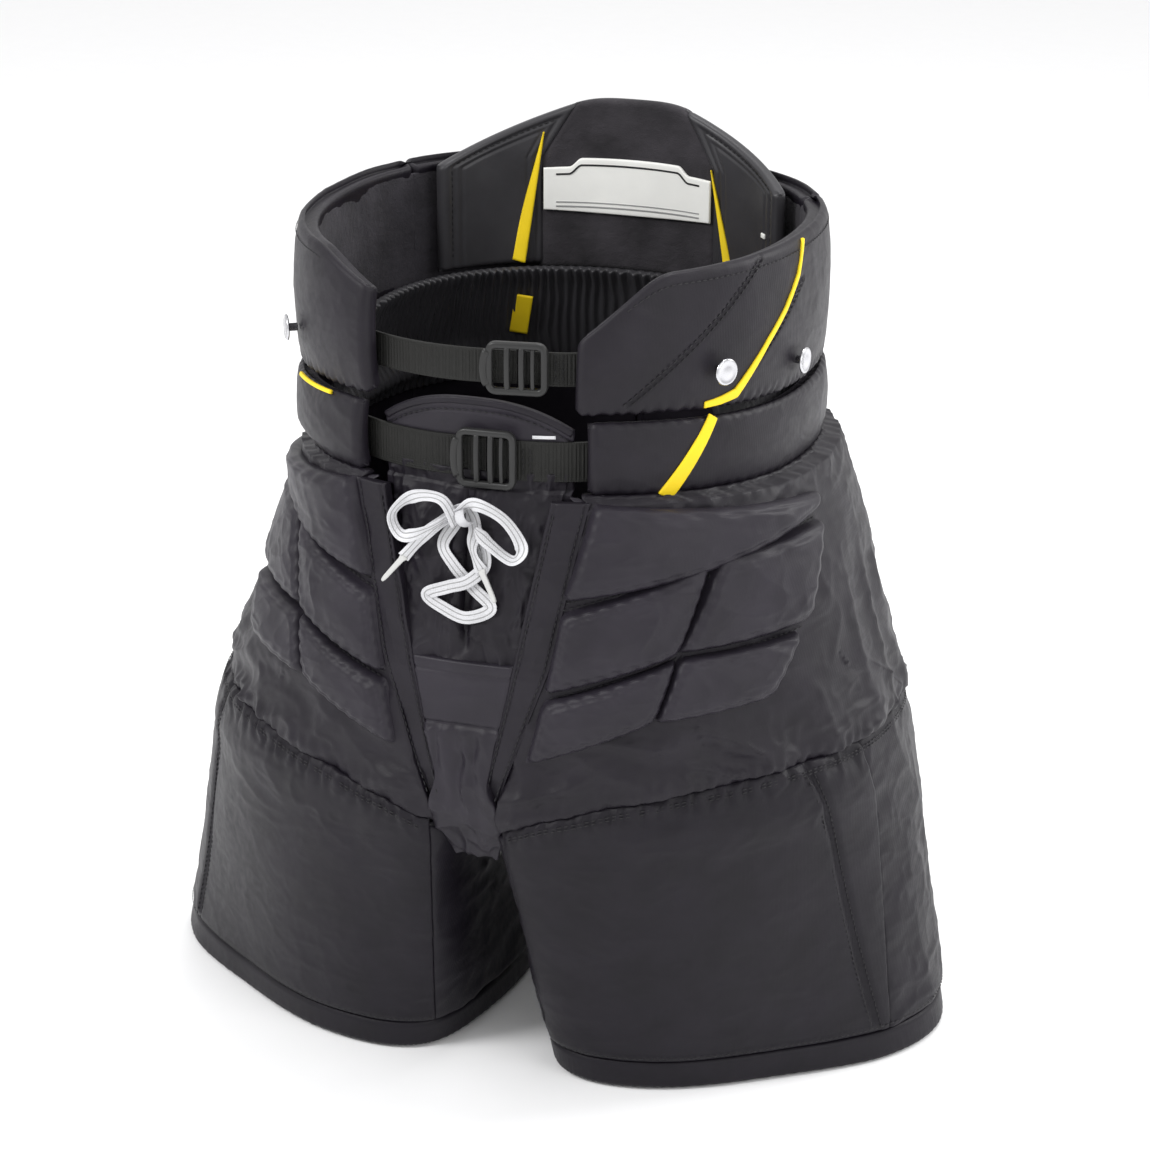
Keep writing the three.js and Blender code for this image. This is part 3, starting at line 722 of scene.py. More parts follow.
    def on(self, surface: Callable[..., Array], path: Sequence[tuple[float, float]],
           out: float = 0.0, count: int = 60) -> tuple[Array, Array]:
        """A line drawn on a surface of angle and height: its points and outward normals.

        Args:
            surface: Function of angle and height.
            path: Corners as angle and height.
            out: Distance out from the face.
            count: Number of points.
        Returns:
            Both arrays.
        """
        path = np.asarray(path, float)
        at = np.linspace(0, len(path) - 1, count)
        angle, z = (np.interp(at, np.arange(len(path)), path[:, k]) for k in (0, 1))
        p = surface(angle, z)
        around = surface(angle + 0.2, z) - surface(angle - 0.2, z)
        upward = surface(angle, z + 0.5) - surface(angle, z - 0.5)
        normal = unit(np.cross(around, upward))
        return p + normal * out, normal


# ---------------------------------------------------------------- sub-assemblies

LEFT_RIGHT = (("left", False), ("right", True))


def quilt(p: Array, amount: float, seed: int) -> Array:
    """Soft swells and short sharp creases of a nylon skin over foam."""
    swell = noise(p / 46.0, seed) * 0.9
    fold = creases(p, (34, 34, 20), seed + 7)
    small = creases(p, (15, 15, 9), seed + 11)
    return amount * (swell + 0.9 * fold + 0.35 * small)


@dataclass
class Hips:
    """The hip and seat skins with their rib pads, sewn channels and thigh seam."""

    shop: Workshop
    thick: float = 10.0
    back_seam: float = 118.0
    rib_height: float = 10.5
    grow: float = 3.0
    blend_top: float = 285.0
    blend_low: float = 190.0
    ribs: tuple = (
        ("rib_top", (24.5, 478), (77.5, 453), (76, 447), (17.5, 413)),
        ("rib_mid_inner", (16.4, 397.5), (43.8, 430), (35.2, 370), (13.3, 343)),
        ("rib_mid_outer", (47.2, 432), (75.4, 434), (65, 376), (36.6, 372)),
        ("rib_low_inner", (12.6, 331), (34.2, 361), (29.6, 321), (10, 288)),
        ("rib_low_outer", (36.2, 363), (61.2, 365), (52.5, 329), (31, 321)),
    )
    folds: tuple = (((12, 262), (33, 283), (58, 300)), ((16, 246), (42, 259), (74, 270)),
                    ((46, 306), (62, 322), (82, 318)), ((80, 330), (92, 372), (96, 430)))
    channels: tuple = (
        ((15.5, 404), (46, 439), (76, 441)),
        ((12.5, 337), (35, 366.5), (64, 371)),
        ((45.4, 432), (36, 366), (30.2, 322)),
    )

    def build(self) -> list[bpy.types.Object]:
        """Make skins, pads and stitching of both sides."""
        made = []
        for label, mirror in LEFT_RIGHT:
            made += self._skins(label, mirror)
            made += [self._rib(label, mirror, *rib) for rib in self.ribs]
            made.append(self._channel_stitches(label, mirror))
        made.append(self._seat_tape())
        return made

    def _skin_place(self, low_angle: Callable[[Array], Array], high: float, top_gap: float
                    ) -> Surface:
        """A surface from the thigh seam up to the belt between two angles."""
        body = self.shop.body

        def place(s: Array, t: Array) -> Array:
            """The skin's surface: angle by the first share, height by the second."""
            rough = lerp(228.0, body.belt_z, t)
            angle = lerp(low_angle(rough), high, s)
            top = body.belt_z - top_gap - body.dip(angle)
            return body.side(angle, lerp(body.thigh_seam(angle), top, t), 0.0)

        return place

    def _relief(self, seed: int) -> Relief:
        """Creases, strongest between the pads and the thigh seam, and gathers under the belt.

        Args:
            seed: Which folds.
        Returns:
            Relief in millimetres.
        """
        body = self.shop.body

        def lift(s: Array, t: Array, p: Array) -> Array:
            """The sum of swell, creases and puckers at each point."""
            z = p[..., 2]
            slack = 1.0 * smooth(z, 330, 275) + 0.55 + 0.5 * smooth(z, 440, 474)
            fold = quilt(p, 1.6, seed) * slack
            degrees = np.degrees(np.arctan2(p[..., 0], -p[..., 1]))
            for k, path in enumerate(self.folds):
                line = np.array([(a * HIP_MM_PER_DEGREE, h) for a, h in path])
                d, share = near(line, degrees * HIP_MM_PER_DEGREE,
                                z + 6.0 * noise(p / 40, seed + 50 + k))
                ends = np.sin(math.pi * np.clip(share, 0.0, 1.0)) ** 0.6
                fold += (3.2 * np.exp(-(d / 5.0) ** 2) - 1.2 * np.exp(-((d - 9) / 4.0) ** 2)) * ends
            diagonal = creases(p + p[..., [2, 0, 1]] * 0.5, (70, 70, 26), seed + 31)
            fold += 4.4 * diagonal * smooth(z, 345, 285) * smooth(z, 222, 258)
            fold += 2.4 * creases(p, (40, 40, 90), seed + 41) * smooth(np.abs(p[..., 0]), 190, 250)
            round_way = np.hypot(p[..., 0], p[..., 1])
            turn = np.arctan2(p[..., 0], -p[..., 1]) * round_way
            fold += 0.8 * np.sin(turn / 2.1 + 2 * noise(p / 12, 5)) * smooth(t, 0.10, 0.0)
            fold += 0.8 * np.sin(turn / 2.6 + 2 * noise(p / 12, 6)) * smooth(t, 0.93, 1.0)
            return fold - 1.6 * smooth(t, 0.03, 0.0)

        return lift

    def _skins(self, label: str, mirror: bool) -> list[bpy.types.Object]:
        """Hip and seat skins of one side.

        Args:
            label: Side, left or right.
            mirror: Wearer's right.
        Returns:
            The pieces.
        """
        body, shop = self.shop.body, self.shop
        seed = 41 if mirror else 3
        hip = shop.shell(f"hip_skin_{label}",
                         self._skin_place(lambda z: body.front_angle(body.hip_edge(z), z),
                                          self.back_seam + 0.15, -3.0),
                         (182, 112), self.thick, NYLON, 2.2, self._relief(seed), mirror=mirror)
        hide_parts(f"hip_shell_{label}")
        seat = shop.shell(f"seat_skin_{label}",
                          self._skin_place(lambda z: np.full_like(z, self.back_seam - 0.1), 179.6,
                                           -3.0),
                          (102, 110), self.thick, NYLON, 2.2, self._relief(seed + 9), mirror=mirror)
        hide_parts("seat_shell")
        for obj in (hip, seat):
            bend(obj, label, self)
        return [hip, seat]

    def _rib(self, label: str, mirror: bool, name: str, inner_top: Corner, outer_top: Corner,
             outer_low: Corner, inner_low: Corner) -> bpy.types.Object:
        """One raised pad: a four-cornered plateau with rounded corners and a bevelled edge.

        The height is a quarter ellipse of the distance to the outline, and the distance is the
        smooth least of the distances to the four sides.

        Args:
            label: Side, left or right.
            mirror: Wearer's right.
            name: Piece's name.
            inner_top: Inner upper corner, angle and height.
            outer_top: Outer upper corner.
            outer_low: Outer lower corner.
            inner_low: Inner lower corner.
        Returns:
            The piece.
        """
        body = self.shop.body
        corners = np.array([inner_low, outer_low, outer_top, inner_top], float)
        middle = corners.mean(0)
        grown = middle + (corners - middle) * 1.16
        flat = corners * [HIP_MM_PER_DEGREE, 1.0]

        def place(s: Array, t: Array) -> tuple[Array, Array]:
            """Angle and height of a point of the slightly larger pad."""
            low = lerp(grown[0], grown[1], s[..., None])
            high = lerp(grown[3], grown[2], s[..., None])
            at = lerp(low, high, t[..., None])
            return at[..., 0], at[..., 1]

        def inside(angle: Array, z: Array) -> Array:
            """Smooth distance in from the nearest side of the outline."""
            u = angle * HIP_MM_PER_DEGREE
            gaps = []
            for a, b in zip(flat, np.roll(flat, -1, 0)):
                d = (b - a) / np.hypot(*(b - a))
                gaps.append((z - a[1]) * d[0] - (u - a[0]) * d[1])
            sharp = 0.42
            return self.grow - np.log(sum(np.exp(-sharp * g) for g in gaps)) / sharp

        def lift(s: Array, t: Array, p: Array) -> Array:
            """Quarter-ellipse edge, swell, thread groove and puckers."""
            d = inside(*place(s, t))
            edge = np.clip(d / 8.0, 0, 1)
            height = self.rib_height * np.sqrt(np.maximum(0, 1 - (1 - edge) ** 2.4))
            height += 1.3 * smooth(d, 4, 26) - 0.7 * np.exp(-((d - 5.5) / 1.3) ** 2)
            height += 1.25 * quilt(p, 1.0, 77) * smooth(d, 2, 10)
            pucker = np.sin(p[..., 2] / 1.9 + p[..., 0] / 2.3)
            height += 0.6 * pucker * np.exp(-((d - 4) / 5.0) ** 2)
            return np.where(d < 0, -5.0 * smooth(d, 0.0, -5.0), height)

        obj = self.shop.shell(f"{name}_pad_{label}", lambda s, t: body.torso(*place(s, t), -0.6),
                              (86, 52), 6.0, PAD_NYLON, 0.5, lift, mirror=mirror)
        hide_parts(f"{name}_{label}")
        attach(obj, "pelvis")
        return obj

    def _channel_stitches(self, label: str, mirror: bool) -> bpy.types.Object:
        """Two rows of thread down each channel between the pads.

        Args:
            label: Side, left or right.
            mirror: Wearer's right.
        Returns:
            The piece.
        """
        body, runs = self.shop.body, []
        for channel in self.channels:
            for step in (-2.0, 2.0):
                path = [(a - step * 0.12, z + step) for a, z in channel]
                runs.append(self.shop.on(body.torso, path, 1.6, 160))
        obj = self.shop.stitches(f"channel_thread_{label}", runs, mirror=mirror)
        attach(obj, "pelvis")
        return obj

    def _seat_tape(self) -> bpy.types.Object:
        """The felled seam up the middle of the seat.

        Returns:
            The piece.
        """
        body = self.shop.body

        def place(s: Array, t: Array) -> Array:
            """A narrow band up the middle of the back."""
            return body.torso(lerp(177.2, 182.8, s), lerp(238.0, body.belt_z - 15, t), 0.0)

        obj = self.shop.shell("seat_seam_tape", place, (14, 110), 8.0, NYLON, 2.0,
                              lambda s, t, p: 2.2 + 0.5 * creases(p, (9, 9, 12), 5))
        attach(obj, "pelvis")
        return obj


def bend(obj: bpy.types.Object, label: str, hips: Hips) -> None:
    """Bake a piece of cloth's placement into its mesh."""
    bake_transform(obj)


@dataclass
class Legs:
    """Leg panels from thigh seam to hem, with the side strip, inner gusset and hem band."""

    shop: Workshop
    hips: Hips
    thick: float = 8.5
    hem: float = 24.0

    def build(self) -> list[bpy.types.Object]:
        """Make both legs.

        Returns:
            The pieces.
        """
        body = self.shop.body
        made = []
        seams = [0.0, 73.9, 121.0, 175.8]
        names = ("leg_front", "leg_side", "leg_rear")
        cells = ((150, 122), (84, 116), (94, 112))
        for label, mirror in LEFT_RIGHT:
            seed = 300 if mirror else 100
            for k, name in enumerate(names):
                place = self._panel(seams[k] + (4.3 if k == 0 else -0.1), seams[k + 1] + 0.1)
                lift = self._front_relief(seed) if k == 0 else self._relief(seed + 20 * k)
                # Every leg piece takes the darker nylon copy; its darker colour is painted shade.
                obj = self.shop.shell(f"{name}_panel_{label}", place, cells[k], self.thick, SHADED_LEG_NYLON,
                                      2.2, lift, mirror=mirror)
                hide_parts(f"{name}_{label}")
                made.append(self._finish(obj, label))
            inner = self.shop.shell(
                f"leg_inner_panel_{label}",
                lambda s, t: body.leg(lerp(0.752, 1.002, s), lerp(self.hem + 0.6, 217.0, t)),
                (72, 72), self.thick, SHADED_LEG_NYLON, 3.0, self._relief(seed + 70), mirror=mirror)
            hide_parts(f"leg_inner_{label}")
            made.append(self._finish(inner, label))
            hem = self.shop.shell(
                f"leg_hem_band_{label}", lambda s, t: body.leg(s, lerp(0.0, self.hem, t)),
                (260, 16), 10.0, SHADED_LEG_NYLON, 4.0, self._hem_relief(seed), mirror=mirror, ring=True)
            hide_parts(f"leg_hem_{label}")
            made.append(self._finish(hem, label))
            made += self._threads(label, mirror)
        return made

    def _finish(self, obj: bpy.types.Object, label: str) -> bpy.types.Object:
        """Bake a piece's placement into its mesh and hand it back."""
        bend(obj, label, self.hips)
        return obj

    def _panel(self, start: float, end: float) -> Surface:
        """A panel from the hem band up to the thigh seam between two angles."""
        body = self.shop.body

        def place(s: Array, t: Array) -> Array:
            """Angle by the first share, height by the second."""
            angle = lerp(start, end, s)
            return body.side(angle, lerp(self.hem + 0.6, body.thigh_seam(angle) + 0.6, t), 0.0)

        return place

    def _relief(self, seed: int) -> Relief:
        """Broad soft creases with tighter ones at the seams."""

        def lift(s: Array, t: Array, p: Array) -> Array:
            """The sum of swell, creases and puckers at each point."""
            fold = quilt(p, 1.1, seed) + 1.5 * creases(p, (60, 60, 130), seed + 3)
            return fold - 1.2 * smooth(t, 0.04, 0.0) - 1.2 * smooth(t, 0.97, 1.0)

        return lift

    def _front_relief(self, seed: int) -> Relief:
        """The stiff flat thigh panel: puckered along its top seam, with a sewn side strip.

        Args:
            seed: Which folds.
        Returns:
            Relief in millimetres.
        """

        def lift(s: Array, t: Array, p: Array) -> Array:
            """Shallow dome, seam puckers and the groove of the side strip."""
            round_way = p[..., 0] * 1.0
            fold = 0.7 * quilt(p, 1.0, seed) * (0.6 + smooth(t, 0.6, 1.0))
            fold += 2.4 * np.sin(math.pi * t) ** 0.7 * np.sin(math.pi * np.clip(s, 0, 1)) ** 0.5
            pucker = np.sin(round_way / 1.8 + 2.5 * noise(p / 10, 3))
            fold += 1.2 * pucker * np.exp(-(((1 - t) * 220 - 5) / 10) ** 2)
            strip = (s * 69.6 + 4.3) - lerp(71.0, 58.5, t)
            fold += -2.2 * np.exp(-(strip / 0.55) ** 2) * smooth(t, 0.02, 0.06)
            fold += 1.4 * smooth(strip, 0.4, 2.0) * smooth(t, 0.99, 0.94)
            fold += 0.8 * creases(p, (60, 60, 100), seed + 5) * smooth(s, 0.12, 0.0)
            return fold - 1.5 * smooth(t, 0.04, 0.0) - 1.5 * smooth(t, 0.975, 1.0)

        return lift

    def _hem_relief(self, seed: int) -> Relief:
        """A rolled hem with fine diagonal puckers."""

        def lift(s: Array, t: Array, p: Array) -> Array:
            """Uneven roll with fine puckers at its foot."""
            pucker = np.sin(s * 2 * math.pi * 110 + t * 2 + 2 * noise(p / 12, seed))
            roll = (0.2 + 0.7 * noise(p / 30, seed + 1)) * np.sin(math.pi * t)
            return roll - 1.0 + 0.35 * pucker * (1 - t)

        return lift

    def _threads(self, label: str, mirror: bool) -> list[bpy.types.Object]:
        """Threads beside the thigh seam, the side strip and the hem.

        Args:
            label: Side, left or right.
            mirror: Wearer's right.
        Returns:
            The pieces.
        """
        body = self.shop.body
        angles = np.linspace(6, 116, 40)
        rows = [[(a, body.thigh_seam(a) + d) for a in angles] for d in (-5.5, -8.0)]
        rows.append([(a, 29.5) for a in np.linspace(5, 174, 50)])
        rows += [[(71.0 + d, 27.0), (58.5 + d, 262.0)] for d in (-0.9, 0.9)]
        runs = [self.shop.on(body.side, row, 1.5, 220) for row in rows]
        obj = self.shop.stitches(f"leg_thread_{label}", runs, mirror=mirror)
        bend(obj, label, self.hips)
        return [obj]


@dataclass
class FlyFront:
    """Fly bands, crinkled gusset, crotch panel and saddle, and the tongue behind the lace."""

    shop: Workshop
    recess: float = 18.0
    crotch_z: float = 190.0
    tongue_half: float = 72.0
    tongue_top: float = 548.0

    def build(self) -> list[bpy.types.Object]:
        """Make every piece of the fly."""
        made = [self._band(label, mirror) for label, mirror in LEFT_RIGHT]
        made += [self._gusset(), self._crotch(), self._saddle(), self._tongue()]
        made += self._trims()
        return made

    def _band(self, label: str, mirror: bool) -> bpy.types.Object:
        """The smooth sewn band beside the fly.

        Args:
            label: Side, left or right.
            mirror: Wearer's right.
        Returns:
            The piece.
        """
        body = self.shop.body

        def place(s: Array, t: Array) -> Array:
            """From the fly's edge out to the hip's edge."""
            z = lerp(232.0, body.belt_z - 0.5, t)
            x = lerp(body.fly_edge(z), body.hip_edge(z) + 1.0, s)
            return body.torso(body.front_angle(x, z), z, 0.0)

        def lift(s: Array, t: Array, p: Array) -> Array:
            """Two thread grooves, creases, and a foot sunk into the crotch."""
            edge = -1.3 * np.exp(-((s - 0.12) / 0.05) ** 2) - 1.3 * np.exp(-((s - 0.9) / 0.05) ** 2)
            up = smooth(p[..., 2], 250, 340)
            return (1.6 * up + edge * 0.8 + 0.5 * quilt(p, 1.0, 9) - 6.5 * smooth(p[..., 2], 282, 240)
                    + creases(p, (22, 22, 34), 8) * (1.9 - 1.2 * up))

        obj = self.shop.shell(f"fly_band_cover_{label}", place, (34, 170), 8.0, NYLON, 1.6, lift,
                              mirror=mirror)
        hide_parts(f"fly_band_{label}")
        return self._ride(obj, "shell_nylon", 0.4)

    def _ride(self, obj: bpy.types.Object, slot: str, fill: float) -> bpy.types.Object:
        """Fix a piece to the pelvis."""
        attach(obj, "pelvis")
        return obj

    def gusset_inset(self, z: Array) -> Array:
        """How far the gusset lies behind the front at a height."""
        body = self.shop.body
        return lerp(2.0, self.recess, np.clip((z - body.fly_z) / (body.belt_z - 2 - body.fly_z), 0, 1))

    def _gusset(self) -> bpy.types.Object:
        """The crinkled nylon behind the lace, with a dark slit down its middle.

        Returns:
            The piece.
        """
        body = self.shop.body

        def place(s: Array, t: Array) -> Array:
            """Across the fly, set back as it rises."""
            z = lerp(body.fly_z - 4.0, body.belt_z + 14.0, t)
            half = body.fly_edge(z) + 3.0
            inset = self.gusset_inset(z)
            return body.torso(body.front_angle(lerp(-half, half, s), z, inset), z, inset)

        def lift(s: Array, t: Array, p: Array) -> Array:
            """Crinkles, a deep slit and its pinched lips."""
            fold = 1.9 * creases(p, (16, 16, 30), 21, 1.1) + 0.9 * creases(p, (8, 8, 12), 22, 1.0)
            x = p[..., 0]
            slit = np.exp(-(x / 3.2) ** 2) * smooth(t, 0.05, 0.2) * smooth(t, 0.98, 0.8)
            lips = np.exp(-((np.abs(x) - 9) / 5.0) ** 2) * smooth(t, 0.03, 0.2)
            pinch = 0.8 * np.sin(p[..., 2] / 3.0) * lips
            return fold - 7.0 * slit + 1.6 * lips + pinch

        obj = self.shop.shell("fly_gusset_cloth", place, (110, 130), 3.0, NYLON, 1.2, lift)
        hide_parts("fly_gusset")
        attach(obj, "pelvis")
        return obj

    def _crotch_inset(self, t: Array) -> Array:
        """How far the crotch panel turns back at a share of its height."""
        return lerp(46.0, 0.0, smooth(t, -0.22, 0.44))

    def _crotch(self) -> bpy.types.Object:
        """The panel below the fly: flat at its top, gathered where it turns under.

        Returns:
            The piece.
        """
        body = self.shop.body

        def place(s: Array, t: Array) -> Array:
            """Between the bands, turning back as it falls."""
            z = lerp(self.crotch_z, body.fly_z + 1.0, t)
            half = np.maximum(body.fly_edge(z) + 1.0, 9.0) + (14.0 * smooth(z, 268, 232)
                                                                - 9.0 * smooth(z, 214, 190))
            x = lerp(-half, half, s)
            return body.torso(body.front_angle(x, z), z, self._crotch_inset(t))

        def lift(s: Array, t: Array, p: Array) -> Array:
            """Two seams, gathers below them and soft folds."""
            x, z = p[..., 0], p[..., 2]
            flat = smooth(z, 300, 312)
            gathers = np.sin(x / 2.3 + 2.2 * noise(p / 14, 4)) * 1.3
            fold = (1 - flat) * (gathers * np.exp(-((z - 282) / 34) ** 2)
                                 + 3.2 * creases(p, (20, 26, 44), 12)
                                 + 1.6 * creases(p, (12, 14, 22), 14))
            seam = -2.4 * np.exp(-((z - 307) / 2.0) ** 2) - 1.2 * np.exp(-((z - 348) / 1.4) ** 2)
            return 1.6 + fold + seam + 0.5 * quilt(p, 1.0, 31) * flat

        obj = self.shop.shell("crotch_panel_pad", place, (80, 130), 7.0, PAD_NYLON, 2.4, lift)
        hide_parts("crotch_panel")
        return self._ride(obj, "shell_nylon", 0.4)

    def _saddle(self) -> bpy.types.Object:
        """The strip that runs back between the legs.

        Returns:
            The piece.
        """
        body = self.shop.body
        front = float(body.torso(0.0, self.crotch_z, 38.0)[1])
        back = float(body.torso(180.0, body.hip_z, 6.0)[1])

        def place(s: Array, t: Array) -> Array:
            """A sagging line from front to back, wider behind."""
            z = lerp(self.crotch_z, body.hip_z, t**2) - 12 * np.sin(math.pi * t)
            half = 9.0 + 22.0 * smooth(t, 0.7, 0.96)
            return np.stack([half * lerp(-1, 1, s), lerp(front, back, t), z], -1)

        obj = self.shop.shell("crotch_saddle_strip", place, (12, 90), 4.0, NYLON, 1.6,
                              lambda s, t, p: 0.8 * creases(p, (9, 22, 9), 6))
        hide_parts("crotch_saddle")
        return self._ride(obj, "shell_nylon", 0.3)

    def tongue_line(self, s: Array) -> Array:
        """Height of the tongue's arched top at a share of its width."""
        return self.tongue_top - 22.0 * np.abs(2 * s - 1) ** 2.5

    def _tongue(self) -> bpy.types.Object:
        """The arched flap behind the straps.

        Returns:
            The piece.
        """
        body = self.shop.body
        inset = self.recess + 2.5

        def place(s: Array, t: Array) -> Array:
            """From the belt's foot up to the arched top."""
            z = lerp(body.belt_z - 8.0, self.tongue_line(s), t)
            x = lerp(-self.tongue_half, self.tongue_half, s)
            return body.torso(body.front_angle(x, z, inset), z, inset)

        def lift(s: Array, t: Array, p: Array) -> Array:
            """Groove and rolled edge along the arch."""
            low = self.tongue_line(s) - p[..., 2]
            return (0.6 * quilt(p, 1.0, 15) + 1.0 - 1.2 * np.exp(-((low - 9) / 1.3) ** 2)
                    + 1.4 * np.exp(-(low / 5.0) ** 2))

        obj = self.shop.shell("tongue_flap", place, (92, 48), 4.5, PAD_NYLON, 2.0, lift)
        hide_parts("tongue")
        return self._ride(obj, "shell_nylon", 0.4)

    def _trims(self) -> list[bpy.types.Object]:
        """Bound edge, thread and tack of the tongue, and the fly bands' threads.

        Returns:
            The pieces.
        """
        body, shop, inset = self.shop.body, self.shop, self.recess + 2.5
        s = np.linspace(0.01, 0.99, 90)
        x = lerp(-self.tongue_half, self.tongue_half, s)

        def tongue_points(below: float, out: float) -> tuple[Array, Array]:
            """A line a set distance below the arch, and its normals."""
            z = self.tongue_line(s) - below
            p = body.torso(body.front_angle(x, z, inset), z, inset - out)
            return p, facing(len(s))

        made = []
        p, n = tongue_points(1.6, 0.6)
        made.append(shop.strip("tongue_binding", p, n, 5.6, 6.0, NYLON))
        made.append(shop.stitches("tongue_thread", [tongue_points(9.0, 1.0)]))
        z = 523.0
        tack = np.stack([np.linspace(44, 60, 12), np.full(12, 0.0), np.full(12, z)], -1)
        tack[:, 1] = body.torso(body.front_angle(tack[:, 0], np.full(12, z), inset), z,
                                inset - 2.6)[:, 1]
        made.append(shop.strip("tongue_bar_tack", tack, facing(12), 2.4, 1.2,
                               LACE))
        for label, mirror in LEFT_RIGHT:
            runs = []
            for share in (0.14, 0.88):
                zs = np.linspace(250, 478, 90)
                xs = lerp(body.fly_edge(zs), body.hip_edge(zs), share)
                runs.append((body.torso(body.front_angle(xs, zs), zs, -2.0),
                             facing(90)))
            made.append(shop.stitches(f"fly_thread_{label}", runs, mirror=mirror))
        for obj in made:
            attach(obj, "pelvis")
        return made


SEAM_ONE = ((67.0, 640), (32.4, 550))
SEAM_TWO = ((82.3, 612), (57.8, 544))
PIPING = ((83.3, 640), (79.9, 617), (74.5, 597), (68.4, 578.5), (63.5, 561), (59.3, 546),
          (55.0, 543.4), (50.8, 542.6))


@dataclass
class Waist:
    """Belt, collar and gathered inner belt."""

    shop: Workshop
    gap: float = 0.3
    belt: float = 14.0
    collar: float = 16.0
    belt_front: float = 88.0
    collar_front: float = 80.0
    back_seam: float = 118.0
    cut_left: float = 56.0
    cut_right: float = 24.0
    inner_low: float = 14.0
    inner_height: float = 98.0
    inner_lean: float = 29.0

    def build(self) -> list[bpy.types.Object]:
        """Make every padded piece round the waist.

        Returns:
            The pieces.
        """
        made = []
        for label, mirror in LEFT_RIGHT:
            made.append(self._belt(f"belt_roll_{label}", f"belt_{label}", None, mirror))
            made.append(self._collar(f"collar_pad_{label}", f"collar_{label}", None, mirror))
            made.append(self._lining(f"collar_lining_{label}", None, mirror))
            made.append(self._inner(label, mirror))
        made.append(self._belt("belt_roll_back", "belt_back", "back", False))
        made.append(self._collar("collar_pad_back", "collar_back", "back", False))
        made.append(self._lining("collar_lining_back", "back", False))
        made += [*self._trims(), self._tag()]
        return made

    def _ride(self, obj: bpy.types.Object, node: str, slot: str, fill: float = 0.8
              ) -> bpy.types.Object:
        """Fix a piece to the pelvis, in place of its solid.

        Args:
            obj: The piece.
            node: Solid it stands for.
            slot: Not used.
            fill: Not used.
        Returns:
            The piece.
        """
        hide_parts(node)
        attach(obj, "pelvis")
        return obj

    def _span(self, start_x: float, z: float, back: str | None) -> tuple[float, float]:
        """First and last angle of a side or back piece."""
        if back:
            return self.back_seam - 0.15, 360 - self.back_seam + 0.15
        start = float(self.shop.body.front_angle(np.array(start_x), np.array(z)))
        return start, self.back_seam + 0.15

    def belt_skin(self, angle: Array, t: Array, out: float = 0.0) -> Array:
        """Outer face of the belt: a roll that swells by 3 mm at its middle."""
        body = self.shop.body
        z = body.belt_z - body.dip(np.minimum(angle, 360 - angle)) + body.belt_height * t
        swell = 3.0 - 4.5 * np.sin(math.pi * np.clip(t, 0, 1)) ** 0.6
        return body.torso(angle, z, swell - out)

    def _belt(self, name: str, node: str, back: str | None, mirror: bool) -> bpy.types.Object:
        """One length of the padded belt.

        Args:
            name: Piece's name.
            node: Solid it stands for.
            back: Set for the length behind.
            mirror: Wearer's right.
        Returns:
            The piece.
        """
        body = self.shop.body
        start, end = self._span(self.belt_front, body.belt_z, back)

        def lift(s: Array, t: Array, p: Array) -> Array:
            """Crinkles, and puckers along both edges."""
            crinkle = 0.45 * quilt(p, 1.0, 51 if mirror else 52)
            round_way = np.arctan2(p[..., 0], -p[..., 1]) * WAIST_RADIUS
            edge = np.sin(round_way / 1.9 + 2 * noise(p / 9, 2)) * (smooth(t, 0.16, 0.02)
                                                                    + smooth(t, 0.84, 0.98))
            return crinkle + 0.5 * edge

        cells = (200, 34) if back else (170, 34)
        obj = self.shop.shell(name, lambda s, t: self.belt_skin(lerp(start, end, s), t), cells,
                              self.belt, NYLON, 6.5, lift, mirror=mirror)
        return self._ride(obj, node, "shell_nylon")

    def front_cut(self, mirror: bool) -> float:
        """How far the collar is cut down at its front corner: more on the wearer's left."""
        return self.cut_right if mirror else self.cut_left

    def collar_height(self, angle: Array, t: Array, cut: float, cut_deg: float) -> Array:
        """Height on the collar: level at its foot, cut down towards its front corner.

        Args:
            angle: Degrees round the waist.
            t: Share up the piece.
            cut: Depth of the front corner's cut.
            cut_deg: Degrees the cut takes.
        Returns:
            The points or values.
        """
        body = self.shop.body
        low = body.belt_z + body.belt_height + self.gap - body.dip(np.minimum(angle, 360 - angle))
        start = float(body.front_angle(np.array(self.collar_front), np.array(body.belt_z)))
        fall = cut * (1 - smooth(angle, start - 0.4 * cut_deg, start + 1.1 * cut_deg))
        return lerp(low, body.collar_top - fall, t)

    def collar_skin(self, angle: Array, t: Array, cut: float = 56.0, out: float = 0.0) -> Array:
        """Outer face of the collar: a padded wall that swells by 5 mm at its middle."""
        swell = 5.0 - 6.0 * np.sin(math.pi * np.clip(t, 0, 1)) ** 0.6
        return self.shop.body.torso(angle, self.collar_height(angle, t, cut, 20.0), swell - out)

    def _collar(self, name: str, node: str, back: str | None, mirror: bool) -> bpy.types.Object:
        """One length of the collar, with its sewn lines on the wearer's left.

        Args:
            name: Piece's name.
            node: Solid it stands for.
            back: Set for the length behind.
            mirror: Wearer's right.
        Returns:
            The piece.
        """
        body = self.shop.body
        start, end = self._span(self.collar_front, body.belt_z + 60, back)
        cut = self.front_cut(mirror)

